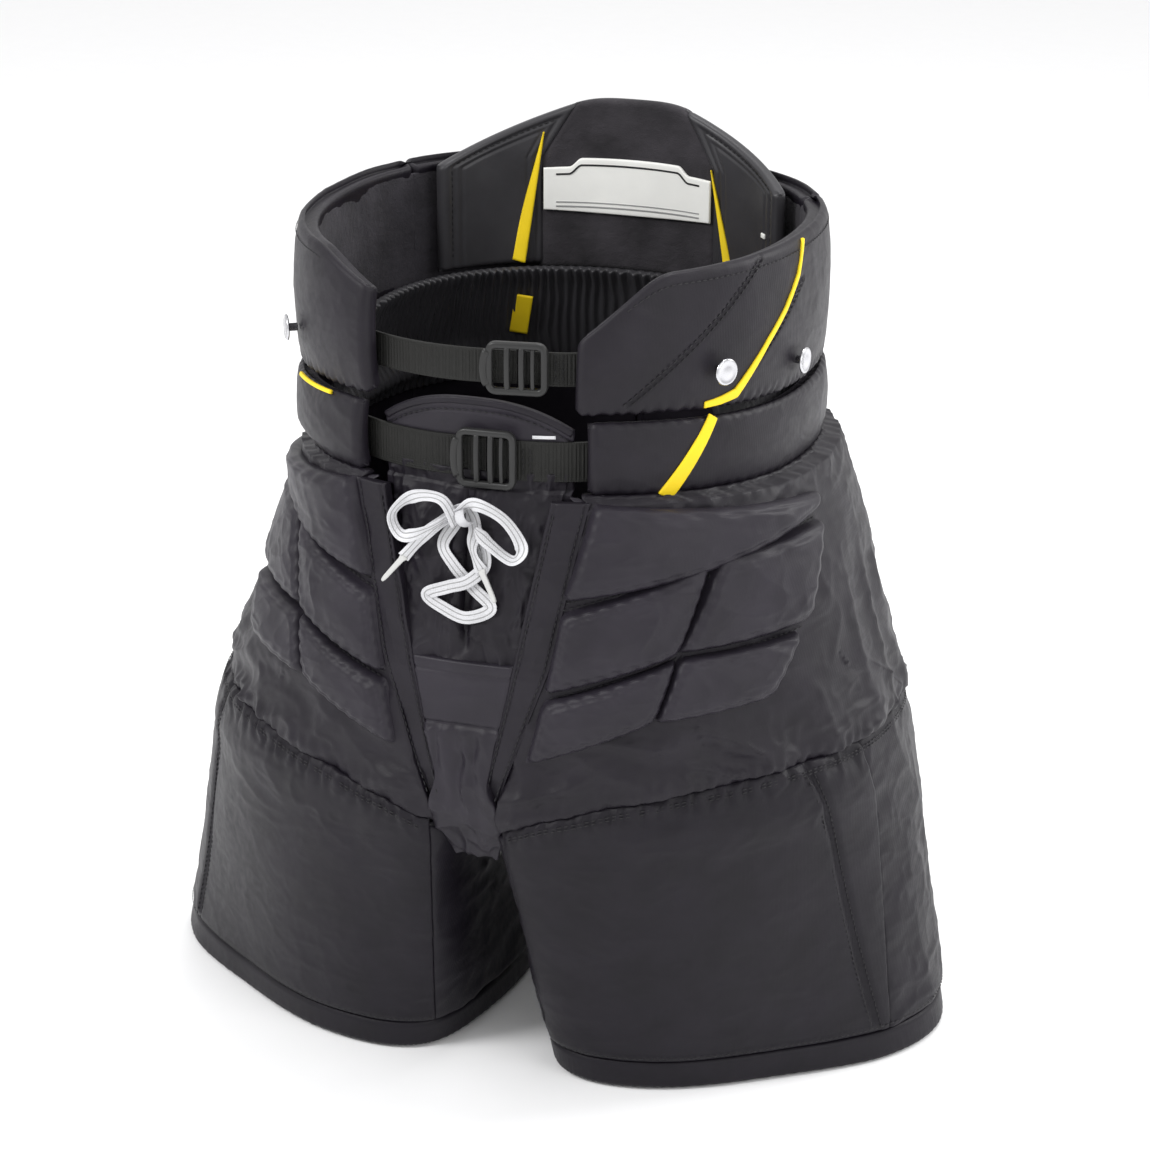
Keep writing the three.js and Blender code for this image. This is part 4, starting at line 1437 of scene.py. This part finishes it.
        def lift(s: Array, t: Array, p: Array) -> Array:
            """Crinkles, gathers at the foot and two sewn lines."""
            angle = lerp(start, end, s)
            crinkle = 0.4 * quilt(p, 1.0, 61 if mirror else 62)
            round_way = np.arctan2(p[..., 0], -p[..., 1]) * WAIST_RADIUS
            gather = np.sin(round_way / 1.7 + 2.4 * noise(p / 9, 3)) * smooth(t, 0.13, 0.02)
            lines = 0.0
            if not mirror and not back:
                u = angle * COLLAR_MM_PER_DEGREE
                for path in (SEAM_ONE, SEAM_TWO):
                    d, _ = near(np.array([(a * COLLAR_MM_PER_DEGREE, z) for a, z in path]), u,
                                p[..., 2])
                    lines = lines - 1.7 * np.exp(-(d / 1.8) ** 2)
            return crinkle + 0.9 * gather + lines

        cells = (200, 60) if back else (190, 64)
        obj = self.shop.shell(name, lambda s, t: self.collar_skin(lerp(start, end, s), t, cut),
                              cells, self.collar, NYLON, 7.0, lift, mirror=mirror)
        return self._ride(obj, node, "shell_nylon")

    def _lining(self, name: str, back: str | None, mirror: bool) -> bpy.types.Object:
        """The brushed lining on the collar's inner face, inside its nylon rim.

        Args:
            name: Piece's name.
            back: Set for the length behind.
            mirror: Wearer's right.
        Returns:
            The piece.
        """
        start, end = self._span(self.collar_front, self.shop.body.belt_z + 60, back)
        cut = self.front_cut(mirror)

        def place(s: Array, t: Array) -> Array:
            """The collar's inner face, short of its rim."""
            angle = lerp(start + (0.0 if back else 2.6), end, s)
            level = self.collar_height(angle, lerp(0.04, 0.90, t), cut, 20.0)
            return self.shop.body.torso(angle, level, self.collar + 1.6)

        obj = self.shop.shell(name, place, (96, 30), 2.0, LINING, 0.9,
                              lambda s, t, p: 0.5 * noise(p / 22, 5) + 0.35 * noise(p / 5, 6),
                              side=-1, mirror=mirror)
        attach(obj, "pelvis")
        return obj

    def _inner(self, label: str, mirror: bool) -> bpy.types.Object:
        """The elastic inner belt, gathered all the way round and leaning in at its top.

        Args:
            label: Side, left or right.
            mirror: Wearer's right.
        Returns:
            The piece.
        """
        body = self.shop.body

        def place(s: Array, t: Array) -> Array:
            """A band that leans in as it rises."""
            angle = lerp(62.0, 180.4, s)
            z = body.belt_z - self.inner_low - body.dip(angle) + self.inner_height * t
            return body.torso(angle, z, self.belt + 1.0 + self.inner_lean * t)

        def lift(s: Array, t: Array, p: Array) -> Array:
            """Even gathers that grow towards the rolled top."""
            gather = np.sin(s * 2 * math.pi * 46 + 1.6 * noise(p / 15, 4))
            rim = np.exp(-((t - 1) / 0.10) ** 2)
            return gather * (0.6 + 0.9 * t) + 1.5 * rim * (1 + 0.4 * gather)

        obj = self.shop.shell(f"inner_belt_gathered_{label}", place, (300, 26), 5.5, SMOOTH, 2.2,
                              lift, side=-1, mirror=mirror)
        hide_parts(f"inner_belt_{label}")
        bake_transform(obj)
        return obj

    def _tag(self) -> bpy.types.Object:
        """The yellow tag sewn to the inner belt at the back.

        Returns:
            The piece.
        """
        body = self.shop.body
        z = np.linspace(494.0, 528.0, 20)
        x = np.linspace(-92.0, -84.0, 20)
        share = (z - body.belt_z + 22) / self.inner_height
        inset = self.belt + 4.5 + self.inner_lean * share
        p = body.torso(180 - body.front_angle(x, z, inset), z, inset)
        obj = self.shop.strip("inner_belt_tag", p, np.tile([0.35, -1.0, 0.2], (20, 1)), 15.0, 1.6,
                              YELLOW)
        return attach(obj, "spine")

    def _trims(self) -> list[bpy.types.Object]:
        """Yellow piping and stripe, and the collar's threads.

        Returns:
            The pieces.
        """
        shop, body, made = self.shop, self.shop.body, []

        def on_collar(angle: Array, z: Array) -> Array:
            """The collar's outer face at an angle and height."""
            low = self.collar_height(angle, np.zeros_like(angle), 56.0, 20.0)
            high = self.collar_height(angle, np.ones_like(angle), 56.0, 20.0)
            return self.collar_skin(angle, (z - low) / (high - low))

        def on_belt(angle: Array, z: Array) -> Array:
            """The belt's outer face at an angle and height."""
            t = (z - (body.belt_z - body.dip(angle))) / body.belt_height
            return self.belt_skin(angle, t)

        p, n = shop.on(on_collar, PIPING, 0.5, 120)
        width = np.interp(np.linspace(0, 1, 120), [0, 0.45, 0.72, 1], [3.2, 4.6, 8.0, 5.0])
        made.append(shop.strip("collar_piping_left", p, n, width, 2.4, YELLOW))
        p, n = shop.on(on_belt, [(53.0, 533), (41.3, 480)], 0.3, 70)
        made.append(shop.strip("belt_stripe_left", p, n, np.linspace(8.4, 13.5, 70), 2.2, YELLOW))
        p, n = shop.on(on_belt, [(34.0, 536), (53.0, 532)], 1.5, 60)
        made.append(shop.strip("belt_piping_right", p, n, 3.2, 3.0, YELLOW, mirror=True))
        runs = []
        for path in (SEAM_ONE, SEAM_TWO):
            for d in (-0.9, 0.9):
                runs.append(shop.on(on_collar, [(a + d, z) for a, z in path], 0.4, 120))
        made.append(shop.stitches("collar_thread_left", runs))
        for label, mirror in LEFT_RIGHT:
            cut = self.front_cut(mirror)
            top = [(a, float(self.collar_height(np.array(a), np.array(0.90), cut, 20.0)))
                   for a in np.linspace(32, 116, 40)]
            made.append(shop.stitches(f"collar_rim_thread_{label}",
                                      [shop.on(on_collar, top, 0.6, 180)], mirror=mirror))
        for obj in made:
            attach(obj, "pelvis")
        return made


@dataclass
class SpinePad:
    """The back protector that stands up inside the collar."""

    shop: Workshop
    half: float = 74.0
    top_half: float = 44.0
    wing: float = 138.0
    pad: float = 12.0
    core_inset: float = 23.2
    low: float = 549.6

    def build(self, top: float) -> list[bpy.types.Object]:
        """Make pad, wings, inlays and badge; top is the height of the pad.

        Args:
            top: Height of the pad's top.
        Returns:
            The pieces.
        """
        made = [self._pad(top)]
        for label, mirror in LEFT_RIGHT:
            made += [self._wing(label, mirror, top), self._inlay(label, mirror, top)]
            made.append(self._wing_thread(label, mirror, top))
        made += self._badge(top)
        for obj in made:
            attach(obj, "spine")
        return made

    def _edge(self, z: Array, top: float) -> Array:
        """Half width of the centre pad at a height: straight, then tapering to its top."""
        shoulder = self.shop.body.collar_top - 4
        return lerp(self.half, self.top_half, np.clip((z - shoulder) / (top - shoulder), 0, 1))

    def face(self, x: Array, z: Array, out: float = 0.0) -> Array:
        """Points on the pad's face, which looks forward."""
        body, inset = self.shop.body, self.core_inset + self.pad + out
        angle = 180 - body.front_angle(x, z, inset)
        return body.torso(angle, z, inset)

    def _pad(self, top: float) -> bpy.types.Object:
        """The brushed centre pad.

        Args:
            top: Height of the pad's top.
        Returns:
            The piece.
        """
        def place(s: Array, t: Array) -> Array:
            """The pad's face, with its top corners rounded."""
            z = lerp(self.low, top - 5.0 * np.abs(2 * s - 1) ** 4, t)
            return self.face(lerp(-1, 1, s) * (self._edge(z, top) - 0.5), z)

        obj = self.shop.shell(
            "spine_pad_fleece", place, (60, 68), self.pad, FLEECE, 5.0,
            lambda s, t, p: 0.5 * noise(p / 30, 3) + 0.25 * noise(p / 5, 4))
        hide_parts("spine_pad")
        return obj

    def _wing_place(self, top: float) -> Surface:
        """The surface of a wing."""
        shoulder = self.shop.body.collar_top

        def place(s: Array, t: Array) -> Array:
            """From the pad's edge out, its top falling to the collar."""
            high = lerp(top - 4.0, shoulder - 5.0, s)
            z = lerp(self.low + 4, high, t)
            return self.face(lerp(self._edge(z, top) - 2.6, self.wing, s), z, -0.5)

        return place

    def _wing(self, label: str, mirror: bool, top: float) -> bpy.types.Object:
        """A smooth wing with a stitched double border.

        Args:
            label: Side, left or right.
            mirror: Wearer's right.
            top: Height of the pad's top.
        Returns:
            The piece.
        """

        def lift(s: Array, t: Array, p: Array) -> Array:
            """Two grooves inside the border and a slow swell."""
            d = np.minimum(np.minimum(s, 1 - s) * 64, (1 - t) * 90)
            return (1.2 - 1.3 * np.exp(-((d - 6) / 1.2) ** 2) - 0.9 * np.exp(-((d - 11) / 1.0) ** 2)
                    + 0.7 * noise(p / 28, 6))

        obj = self.shop.shell(f"spine_wing_cover_{label}", self._wing_place(top), (60, 80), 9.5,
                              SMOOTH, 4.0, lift, mirror=mirror)
        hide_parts(f"spine_wing_{label}")
        return obj

    def _wing_thread(self, label: str, mirror: bool, top: float) -> bpy.types.Object:
        """Thread along a wing's outer side and top.

        Args:
            label: Side, left or right.
            mirror: Wearer's right.
            top: Height of the pad's top.
        Returns:
            The piece.
        """
        place = self._wing_place(top)
        t = np.linspace(0.1, 0.91, 60)
        s = np.linspace(0.1, 0.9, 50)
        side_run = place(np.full(60, 0.905), t)
        top_run = place(s, np.full(50, 0.93))
        runs = [(r + 0.7 * facing(len(r)), facing(len(r))) for r in (side_run, top_run)]
        return self.shop.stitches(f"spine_thread_{label}", runs, mirror=mirror)

    def _inlay(self, label: str, mirror: bool, top: float) -> bpy.types.Object:
        """A yellow wedge between pad and wing, pointed at its top.

        Args:
            label: Side, left or right.
            mirror: Wearer's right.
            top: Not used.
        Returns:
            The piece.
        """
        z = np.linspace(557.0, 662.0 if mirror else 642.0, 60)
        share = (z - z[0]) / (z[-1] - z[0])
        wide = 15.0 if mirror else 8.0
        width = lerp(wide, 0.6, share)
        x = lerp(90.0, 70.0, share)
        p = self.face(x, z, 1.2)
        obj = self.shop.strip(f"spine_inlay_{label}", p, facing(60), width,
                              3.0, YELLOW, mirror=mirror)
        return obj

    def _badge_top(self, x: Array) -> Array:
        """The badge's stepped top line: low at its ends, raised between two short slopes."""
        return 633.0 + 7.0 * smooth(np.abs(x), 50, 40) + 2.0 * (1 - (x / 70) ** 2)

    def _badge(self, top: float) -> list[bpy.types.Object]:
        """The white plate without any mark, its dark line, grey lines and a rivet dot.

        Args:
            top: Not used.
        Returns:
            The pieces.
        """
        forward = facing(80)

        def place(s: Array, t: Array) -> Array:
            """The plate's face up to its stepped top line."""
            x = lerp(-69.5, 69.5, s)
            return self.face(x, lerp(596.5 + 2.5 * (x / 70) ** 2, self._badge_top(x), t), 3.4)

        plate = self.shop.shell("spine_badge_plate", place, (72, 24), 3.2, BADGE, 1.2,
                                lambda s, t, p: 0.12 * noise(p / 12, 2))
        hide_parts("spine_badge")
        x = np.linspace(-60, 60, 80)
        made = [plate]
        for name, z, wide, ink in (("badge_line_top", self._badge_top(x) - 5.5, 1.5, INK),
                                   ("badge_line_low", 602.0 + 0 * x, 1.3, GREY_INK),
                                   ("badge_line_lower", 605.5 + 0 * x, 0.9, GREY_INK)):
            made.append(self.shop.strip(name, self.face(x, z, 3.6), forward, wide, 0.7, ink))
        rivet = self.face(np.linspace(123, 127, 6), np.full(6, 603.0), 1.8)
        made.append(self.shop.strip("spine_rivet_left", rivet, forward[:6], 4.0, 1.8, BADGE))
        return made


@dataclass
class Hardware:
    """Webbing straps, ladder buckles and suspender studs."""

    shop: Workshop
    strap_end: float = 118.0
    facets: int = 48

    def build(self, joints: list[dict]) -> list[bpy.types.Object]:
        """Make straps and buckles, and a stud at each stud joint.

        Args:
            joints: The frame's joints.
        Returns:
            The pieces.
        """
        made = []
        for level, z, height, meet, inset in (("upper", 574.0, 25.0, 34.0, 19.1),
                                              ("lower", 506.0, 30.0, 12.0, 17.1)):
            for label, start, end in (("right", -self.strap_end, meet - 1.0),
                                      ("left", meet + 1.0, self.strap_end)):
                obj = self._strap(f"strap_web_{level}_{label}", z, height, start, end, inset)
                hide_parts(f"strap_{level}_{label}")
                made.append(obj)
            made.append(self._edge_thread(level, z, height, meet, inset))
            made.append(self._buckle(level, z, height, meet, inset))
        spins = [j for j in joints if j["name"].endswith("_spin")]
        made += [self._stud(j) for j in spins]
        return made

    def strap_face(self, x: Array, z: Array, inset: float) -> Array:
        """Points on a strap: it follows the waist's front, a little slack."""
        return self.shop.body.torso(self.shop.body.front_angle(x, z, inset), z, inset)

    def _strap(self, name: str, z: float, height: float, start: float, end: float, inset: float
               ) -> bpy.types.Object:
        """One length of webbing.

        Args:
            name: Piece's name.
            z: Height.
            height: Webbing's width.
            start: First angle or place.
            end: Last angle or place.
            inset: Distance in from the face.
        Returns:
            The piece.
        """
        def place(s: Array, t: Array) -> Array:
            """The strap's face, sagging at its middle."""
            level = z + (t - 0.5) * height
            sag = -1.2 * np.sin(math.pi * s)
            p = self.strap_face(lerp(start, end, s), level, inset)
            p[..., 2] += sag
            return p

        def lift(s: Array, t: Array, p: Array) -> Array:
            """Fine cross ribs between two thicker edges."""
            ribs = 0.22 * np.sin(s * 2 * math.pi * (end - start) / 2.6)
            selvedge = 0.45 * np.exp(-(np.minimum(t, 1 - t) * height / 2.0) ** 2)
            return ribs * smooth(np.minimum(t, 1 - t), 0.02, 0.10) + selvedge + 0.4 * noise(p / 25, 3)

        obj = self.shop.shell(name, place, (int(abs(end - start) * 2.2), 16), 2.0, WEBBING, 0.8, lift)
        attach(obj, "pelvis")
        return obj

    def _edge_thread(self, level: str, z: float, height: float, meet: float, inset: float
                     ) -> bpy.types.Object:
        """Cross stitching where the strap is doubled back beside its buckle."""
        runs = []
        for x in (meet + 26.0, meet + 31.0):
            zs = np.linspace(z - height * 0.42, z + height * 0.42, 20)
            p = self.strap_face(np.full(20, x), zs, inset - 0.8)
            runs.append((p, facing(20)))
        obj = self.shop.stitches(f"strap_thread_{level}", runs)
        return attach(obj, "pelvis")

    def _buckle(self, level: str, z: float, height: float, meet: float, inset: float
                ) -> bpy.types.Object:
        """A ladder-lock: a rounded frame, three cross bars and a grip tab, joined in one piece.

        Args:
            level: Upper or lower.
            z: Height.
            height: Webbing's width.
            meet: Where the two lengths meet.
            inset: Distance in from the face.
        Returns:
            The piece.
        """
        low, high = (np.array(v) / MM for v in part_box(f"buckle_{level}"))
        middle = (low + high) / 2
        middle[1] -= self.shop.body.shift_y
        around = self.strap_face(np.array([meet + 2.0, meet - 2.0]), np.full(2, z), inset)
        right = unit(around[0] - around[1])
        forward = np.cross(right, [0.0, 0.0, 1.0])
        up = np.array([0.0, 0.0, 1.0])
        half_w, half_h, corner = 20.0, height / 2 + 4.5, 5.0

        def at(x: Array, y: Array, out: Array) -> Array:
            """Points from offsets across, up and out of the buckle."""
            return (middle + np.multiply.outer(x, right) + np.multiply.outer(y, up)
                    + np.multiply.outer(out, forward))

        quarter = np.linspace(0, math.pi / 2, 6)
        turns = [(1, 1, 0.0), (-1, 1, 0.5), (-1, -1, 1.0), (1, -1, 1.5)]
        xs = np.concatenate([a * (half_w - corner) + corner * np.cos(quarter + k * math.pi)
                             for a, b, k in turns])
        ys = np.concatenate([b * (half_h - corner) + corner * np.sin(quarter + k * math.pi)
                             for a, b, k in turns])
        parts = [self._tube(at(xs, ys, 0 * xs), forward, 5.2, 6.0, True)]
        for x, wide, deep in ((-7.0, 4.2, 5.0), (3.5, 4.2, 5.0), (11.5, 3.0, 3.4)):
            y = np.linspace(-half_h, half_h, 9)
            bow = 1.2 * np.cos(y / half_h * math.pi / 2)
            parts.append(self._tube(at(np.full(9, x), y, bow), forward, wide, deep, False))
        y = np.linspace(-half_h * 0.72, half_h * 0.72, 15)
        tab = -half_w - 3.5 * np.sqrt(np.maximum(0, 1 - (y / (half_h * 0.74)) ** 2)) - 0.5
        parts.append(self._tube(at(tab, y, np.full(15, 1.0)), forward, 5.5, 5.6, False))
        points, faces, base = [], [], 0
        for p, f in parts:
            points.append(p)
            faces.append(f + base)
            base += len(p)
        obj = self.shop.mesh(f"buckle_{level}_ladder", np.concatenate(points),
                             np.concatenate(faces), BUCKLE)
        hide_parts(f"buckle_{level}")
        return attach(obj, f"buckle_{level}")

    def _tube(self, centers: Array, forward: Array, wide: float, deep: float, closed: bool
              ) -> tuple[Array, Array]:
        """Points and faces of one rounded bar of the buckle."""
        angle = (np.arange(12) + 0.5) / 12 * 2 * math.pi
        c, s = np.cos(angle), np.sin(angle)
        across = np.stack([np.sign(c) * np.abs(c) ** 0.6 * wide / 2,
                           np.sign(s) * np.abs(s) ** 0.6 * deep / 2], -1)
        return self.shop.sweep(centers, np.tile(forward, (len(centers), 1)), across, closed)

    def _stud(self, joint: dict) -> bpy.types.Object:
        """A turned suspender stud: shank, under-flange and a shallow domed head.

        Args:
            joint: The stud's joint in the frame.
        Returns:
            The piece.
        """
        node = joint["child"]
        axis = unit(np.array(joint["axis"], float))
        corners = np.array(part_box(node)) / MM
        corners[:, 1] -= self.shop.body.shift_y
        middle = corners.mean(0)
        reach = 4.95
        profile = np.array([(0.05, -reach), (2.8, -reach), (3.0, -reach + 0.5), (3.0, 1.2),
                            (3.6, 1.9), (8.9, 2.1), (9.8, 2.5), (9.9, 3.1), (9.4, 3.9),
                            (8.2, 4.3), (7.7, 4.0), (4.0, 4.6), (0.05, 4.8)])
        turn = np.arange(self.facets) / self.facets * 2 * math.pi
        side = unit(np.cross(axis, [0.0, 0.0, 1.0]))
        other = np.cross(axis, side)
        ring = np.multiply.outer(np.cos(turn), side) + np.multiply.outer(np.sin(turn), other)
        pts = middle + profile[:, None, :1] * ring[None] + profile[:, None, 1:] * axis
        obj = self.shop.mesh(f"{node}_turned", pts, tube_faces(len(profile), self.facets), CHROME)
        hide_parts(node)
        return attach(obj, node)


@dataclass
class Laces:
    """The flat white lace: the part crossed over the gusset, the tails and the bow."""

    shop: Workshop
    fly: FlyFront
    width: float = 9.6
    thick: float = 1.1
    layer: float = 4.6
    knot_z: float = 470.0
    under: tuple = ((-9, 458), (-18, 441), (-9, 427), (7, 412), (21, 399), (3, 390), (-15, 395))
    over: tuple = ((-27, 405), (-12, 412), (4, 418), (16, 431), (13, 447), (7, 458))
    tails: tuple = ((-46, 431, 2.0), (-30, 449, 1.0), (-10, 465, 0.0), (1, 471, 0.0),
                    (8, 458, 0.6), (8, 443, 1.7), (15, 427, 1.8))
    bow: tuple = ((-3, 461, 2.2), (-15, 479, 2.2), (-38, 478, 2.2), (-54, 463, 2.2),
                  (-46, 448, 2.2), (-25, 456, 2.2), (-5, 469, 1.0), (12, 479, 2.8),
                  (34, 470, 2.8), (47, 451, 2.8), (40, 440, 2.8), (23, 450, 2.8), (12, 461, 2.8))

    def build(self) -> list[bpy.types.Object]:
        """Make three ribbons, the knot's wrap and two aglets.

        Returns:
            The pieces.
        """
        body = self.shop.body

        def face(z: float) -> float:
            """How far forward the gusset lies at a height."""
            return float(body.torso(0.0, z, self.fly.gusset_inset(np.array(z)))[1])

        def on_fly(points: tuple, lift: float) -> list:
            """Points laid on the gusset, raised by a lift."""
            return [(x, face(z) - 5.0 - lift, z) for x, z in points]

        knot_y = face(self.knot_z) - 10.6
        crossing = self._smooth(on_fly(self.under, 0.0) + on_fly(self.over, self.layer))
        tails = self._smooth([(x, knot_y - k * self.layer, z) for x, z, k in self.tails])
        bow = self._smooth([(x, knot_y - k * self.layer, z) for x, z, k in self.bow])
        aglets = [self._aglet("aglet_sleeve_right", "aglet_right", tails[0], tails[1]),
                  self._aglet("aglet_sleeve_left", "aglet_left", tails[-1], tails[-2])]
        made = [self._ribbon("lace_crossing_ribbon", "lace_crossing", crossing, 0.12),
                self._ribbon("lace_tails_ribbon", "lace_tails", tails, 0.7),
                self._ribbon("lace_bow_ribbon", "lace_bow", bow, 2.1)]
        wrap = np.array([(0.0, knot_y + 3 - 15 * math.sin(a), self.knot_z - 4 + 6.5 * math.cos(a))
                         for a in np.linspace(0.15, math.pi - 0.15, 24)])
        wrap[:, 0] = np.linspace(-4, 5, 24)
        knot = self.shop.strip("lace_knot_wrap", wrap, unit(wrap - [0, knot_y + 3, self.knot_z - 4]),
                               7.5, 1.6, LACE)
        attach(knot, "pelvis")
        return [*made, *aglets, knot]

    @staticmethod
    def _smooth(points: list, per: int = 12) -> Array:
        """A Catmull-Rom line through the points.

        Args:
            points: Points to pass through.
            per: Steps between two points.
        Returns:
            The points or values.
        """
        p = np.asarray(points, float)
        p = np.concatenate([2 * p[:1] - p[1:2], p, 2 * p[-1:] - p[-2:-1]])
        out = []
        t = (np.arange(per) / per)[:, None]
        for a, b, c, d in zip(p[:-3], p[1:-2], p[2:-1], p[3:]):
            out.append(0.5 * (2 * b + (c - a) * t + (2 * a - 5 * b + 4 * c - d) * t**2
                              + (3 * b - a - 3 * c + d) * t**3))
        return np.concatenate([*out, p[-2:-1]])

    def _ribbon(self, name: str, node: str, line: Array, twist: float) -> bpy.types.Object:
        """One flat ribbon facing forward and turning on edge, with two grey tracer lines along it.

        Args:
            name: Piece's name.
            node: Solid it stands for.
            line: Points of the ribbon's middle.
            twist: How far the ribbon turns on edge.
        Returns:
            The piece.
        """
        share = np.linspace(0, 1, len(line))
        along = unit(np.gradient(line, axis=0))
        outward = unit(np.stack([along[:, 2], np.zeros(len(line)), -along[:, 0]], -1))
        normals = [0.0, -1.0, 0.0] + outward * (twist * np.sin(share * 5 * math.pi + 0.5))[:, None]
        obj = self.shop.strip(name, line, unit(normals), self.width, self.thick, LACE, sides=16)
        for step in (-1.9, 1.9):
            across = unit(np.cross(along, normals)) * step
            tracer = self.shop.strip(f"{name}_tracer_{'low' if step < 0 else 'high'}", line + across,
                                     unit(normals), 0.9, self.thick + 0.35, GREY_INK)
            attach(tracer, "pelvis")
        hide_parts(node)
        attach(obj, "pelvis")
        return obj

    def _aglet(self, name: str, node: str, end: Array, before: Array) -> bpy.types.Object:
        """A clear tip: a tapered sleeve over the end of the ribbon.

        Args:
            name: Piece's name.
            node: Solid it stands for.
            end: Last angle or place.
            before: The ribbon's point next to its end.
        Returns:
            The piece.
        """
        along = unit(end - before)
        share = np.linspace(0, 1, 14)
        line = end + np.multiply.outer(share * 26.0 - 1.5, along)
        width = np.interp(share, [0, 0.12, 0.9, 1], [7.5, 4.6, 3.6, 2.0])
        obj = self.shop.strip(name, line, facing(14), width, 2.6, GUARD)
        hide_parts(node)
        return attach(obj, "pelvis")


# ---------------------------------------------------------------- studio


@dataclass(frozen=True)
class Studio:
    """Camera, lights and a pale floor."""

    azimuth: float = 19.6
    elevation: float = 21.0
    distance: float = 2.513
    target: tuple[float, float, float] = (0.0, -0.00146, 0.330)
    lens: float = 100.4
    shift: tuple[float, float] = (0.0165, 0.0226)

    def build(self, shop: Workshop) -> None:
        """Put up camera, world, area lights and floor.

        Args:
            shop: The workshop.
        """
        scene = bpy.context.scene
        a, e = math.radians(self.azimuth), math.radians(self.elevation)
        back = (math.sin(a) * math.cos(e), -math.cos(a) * math.cos(e), math.sin(e))
        cam = bpy.data.objects.new("camera", bpy.data.cameras.new("camera"))
        cam.location = [t + self.distance * b for t, b in zip(self.target, back)]
        cam.rotation_euler = (math.pi / 2 - e, 0.0, a)
        cam.data.lens = self.lens
        cam.data.sensor_width = 36.0
        cam.data.shift_x, cam.data.shift_y = self.shift
        cam.data.dof.use_dof = False
        scene.collection.objects.link(cam)
        scene.camera = cam
        scene.view_settings.view_transform = "Standard"
        world = bpy.data.worlds.new("studio")
        world.use_nodes = True
        world.node_tree.nodes["Background"].inputs["Color"].default_value = (1, 1, 1, 1)
        world.node_tree.nodes["Background"].inputs["Strength"].default_value = 0.92
        scene.world = world
        for name, place, power, size in (("key", (-1.6, -2.0, 2.6), 62, 0.9),
                                         ("fill", (2.6, -1.4, 1.5), 22, 1.4),
                                         ("top", (0.3, 0.6, 3.0), 30, 1.0),
                                         ("rim", (2.2, 1.4, 1.6), 30, 0.8)):
            lamp = bpy.data.objects.new(name, bpy.data.lights.new(name, "AREA"))
            lamp.data.energy, lamp.data.size = power, size
            lamp.location = place
            aim = np.array([0, 0, 0.35]) - place
            lamp.rotation_euler = (math.atan2(np.hypot(aim[0], aim[1]), -aim[2]), 0.0,
                                   math.atan2(aim[1], aim[0]) - math.pi / 2)
            scene.collection.objects.link(lamp)
        floor = shop.mesh("studio_floor", np.array([(-9e3, -9e3, -1.0), (9e3, -9e3, -1.0),
                                                    (9e3, 9e3, -1.0), (-9e3, 9e3, -1.0)]),
                          np.array([[0, 1, 2, 3]]), FLOOR)


def main() -> None:
    """Build the scene: studio first, then each sub-assembly on the frame."""
    logging.basicConfig(level=logging.INFO, format="%(message)s")
    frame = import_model()
    joints = frame["joints"]
    hip = next(j for j in joints if j["name"] == "hip_left")
    body = BodyShape(shift_y=hip["pos_m"][1] / MM, hip_z=hip["pos_m"][2] / MM,
                     collar_top=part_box("collar_back")[1].z / MM)
    shop = Workshop(body)
    Studio().build(shop)
    fly, waist, hips = FlyFront(shop), Waist(shop), Hips(shop)
    groups = {
        "lace": Laces(shop, fly).build(),
        "hips": hips.build(),
        "legs": Legs(shop, hips).build(),
        "fly": fly.build(),
        "waist": waist.build(),
        "spine": SpinePad(shop).build(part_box("spine_pad")[1].z / MM),
        "hardware": Hardware(shop).build(joints),
    }
    hidden = {"thigh_guard_left": GUARD, "thigh_guard_right": GUARD, "spine_plate": BUCKLE}
    for node, finish in hidden.items():
        frame["nodes"][node].data.materials.clear()
        frame["nodes"][node].data.materials.append(shop.material(finish))
    for group, pieces in groups.items():
        log.info("%s: %s", group, ", ".join(o.name for o in pieces))


if __name__ == "__main__":
    main()
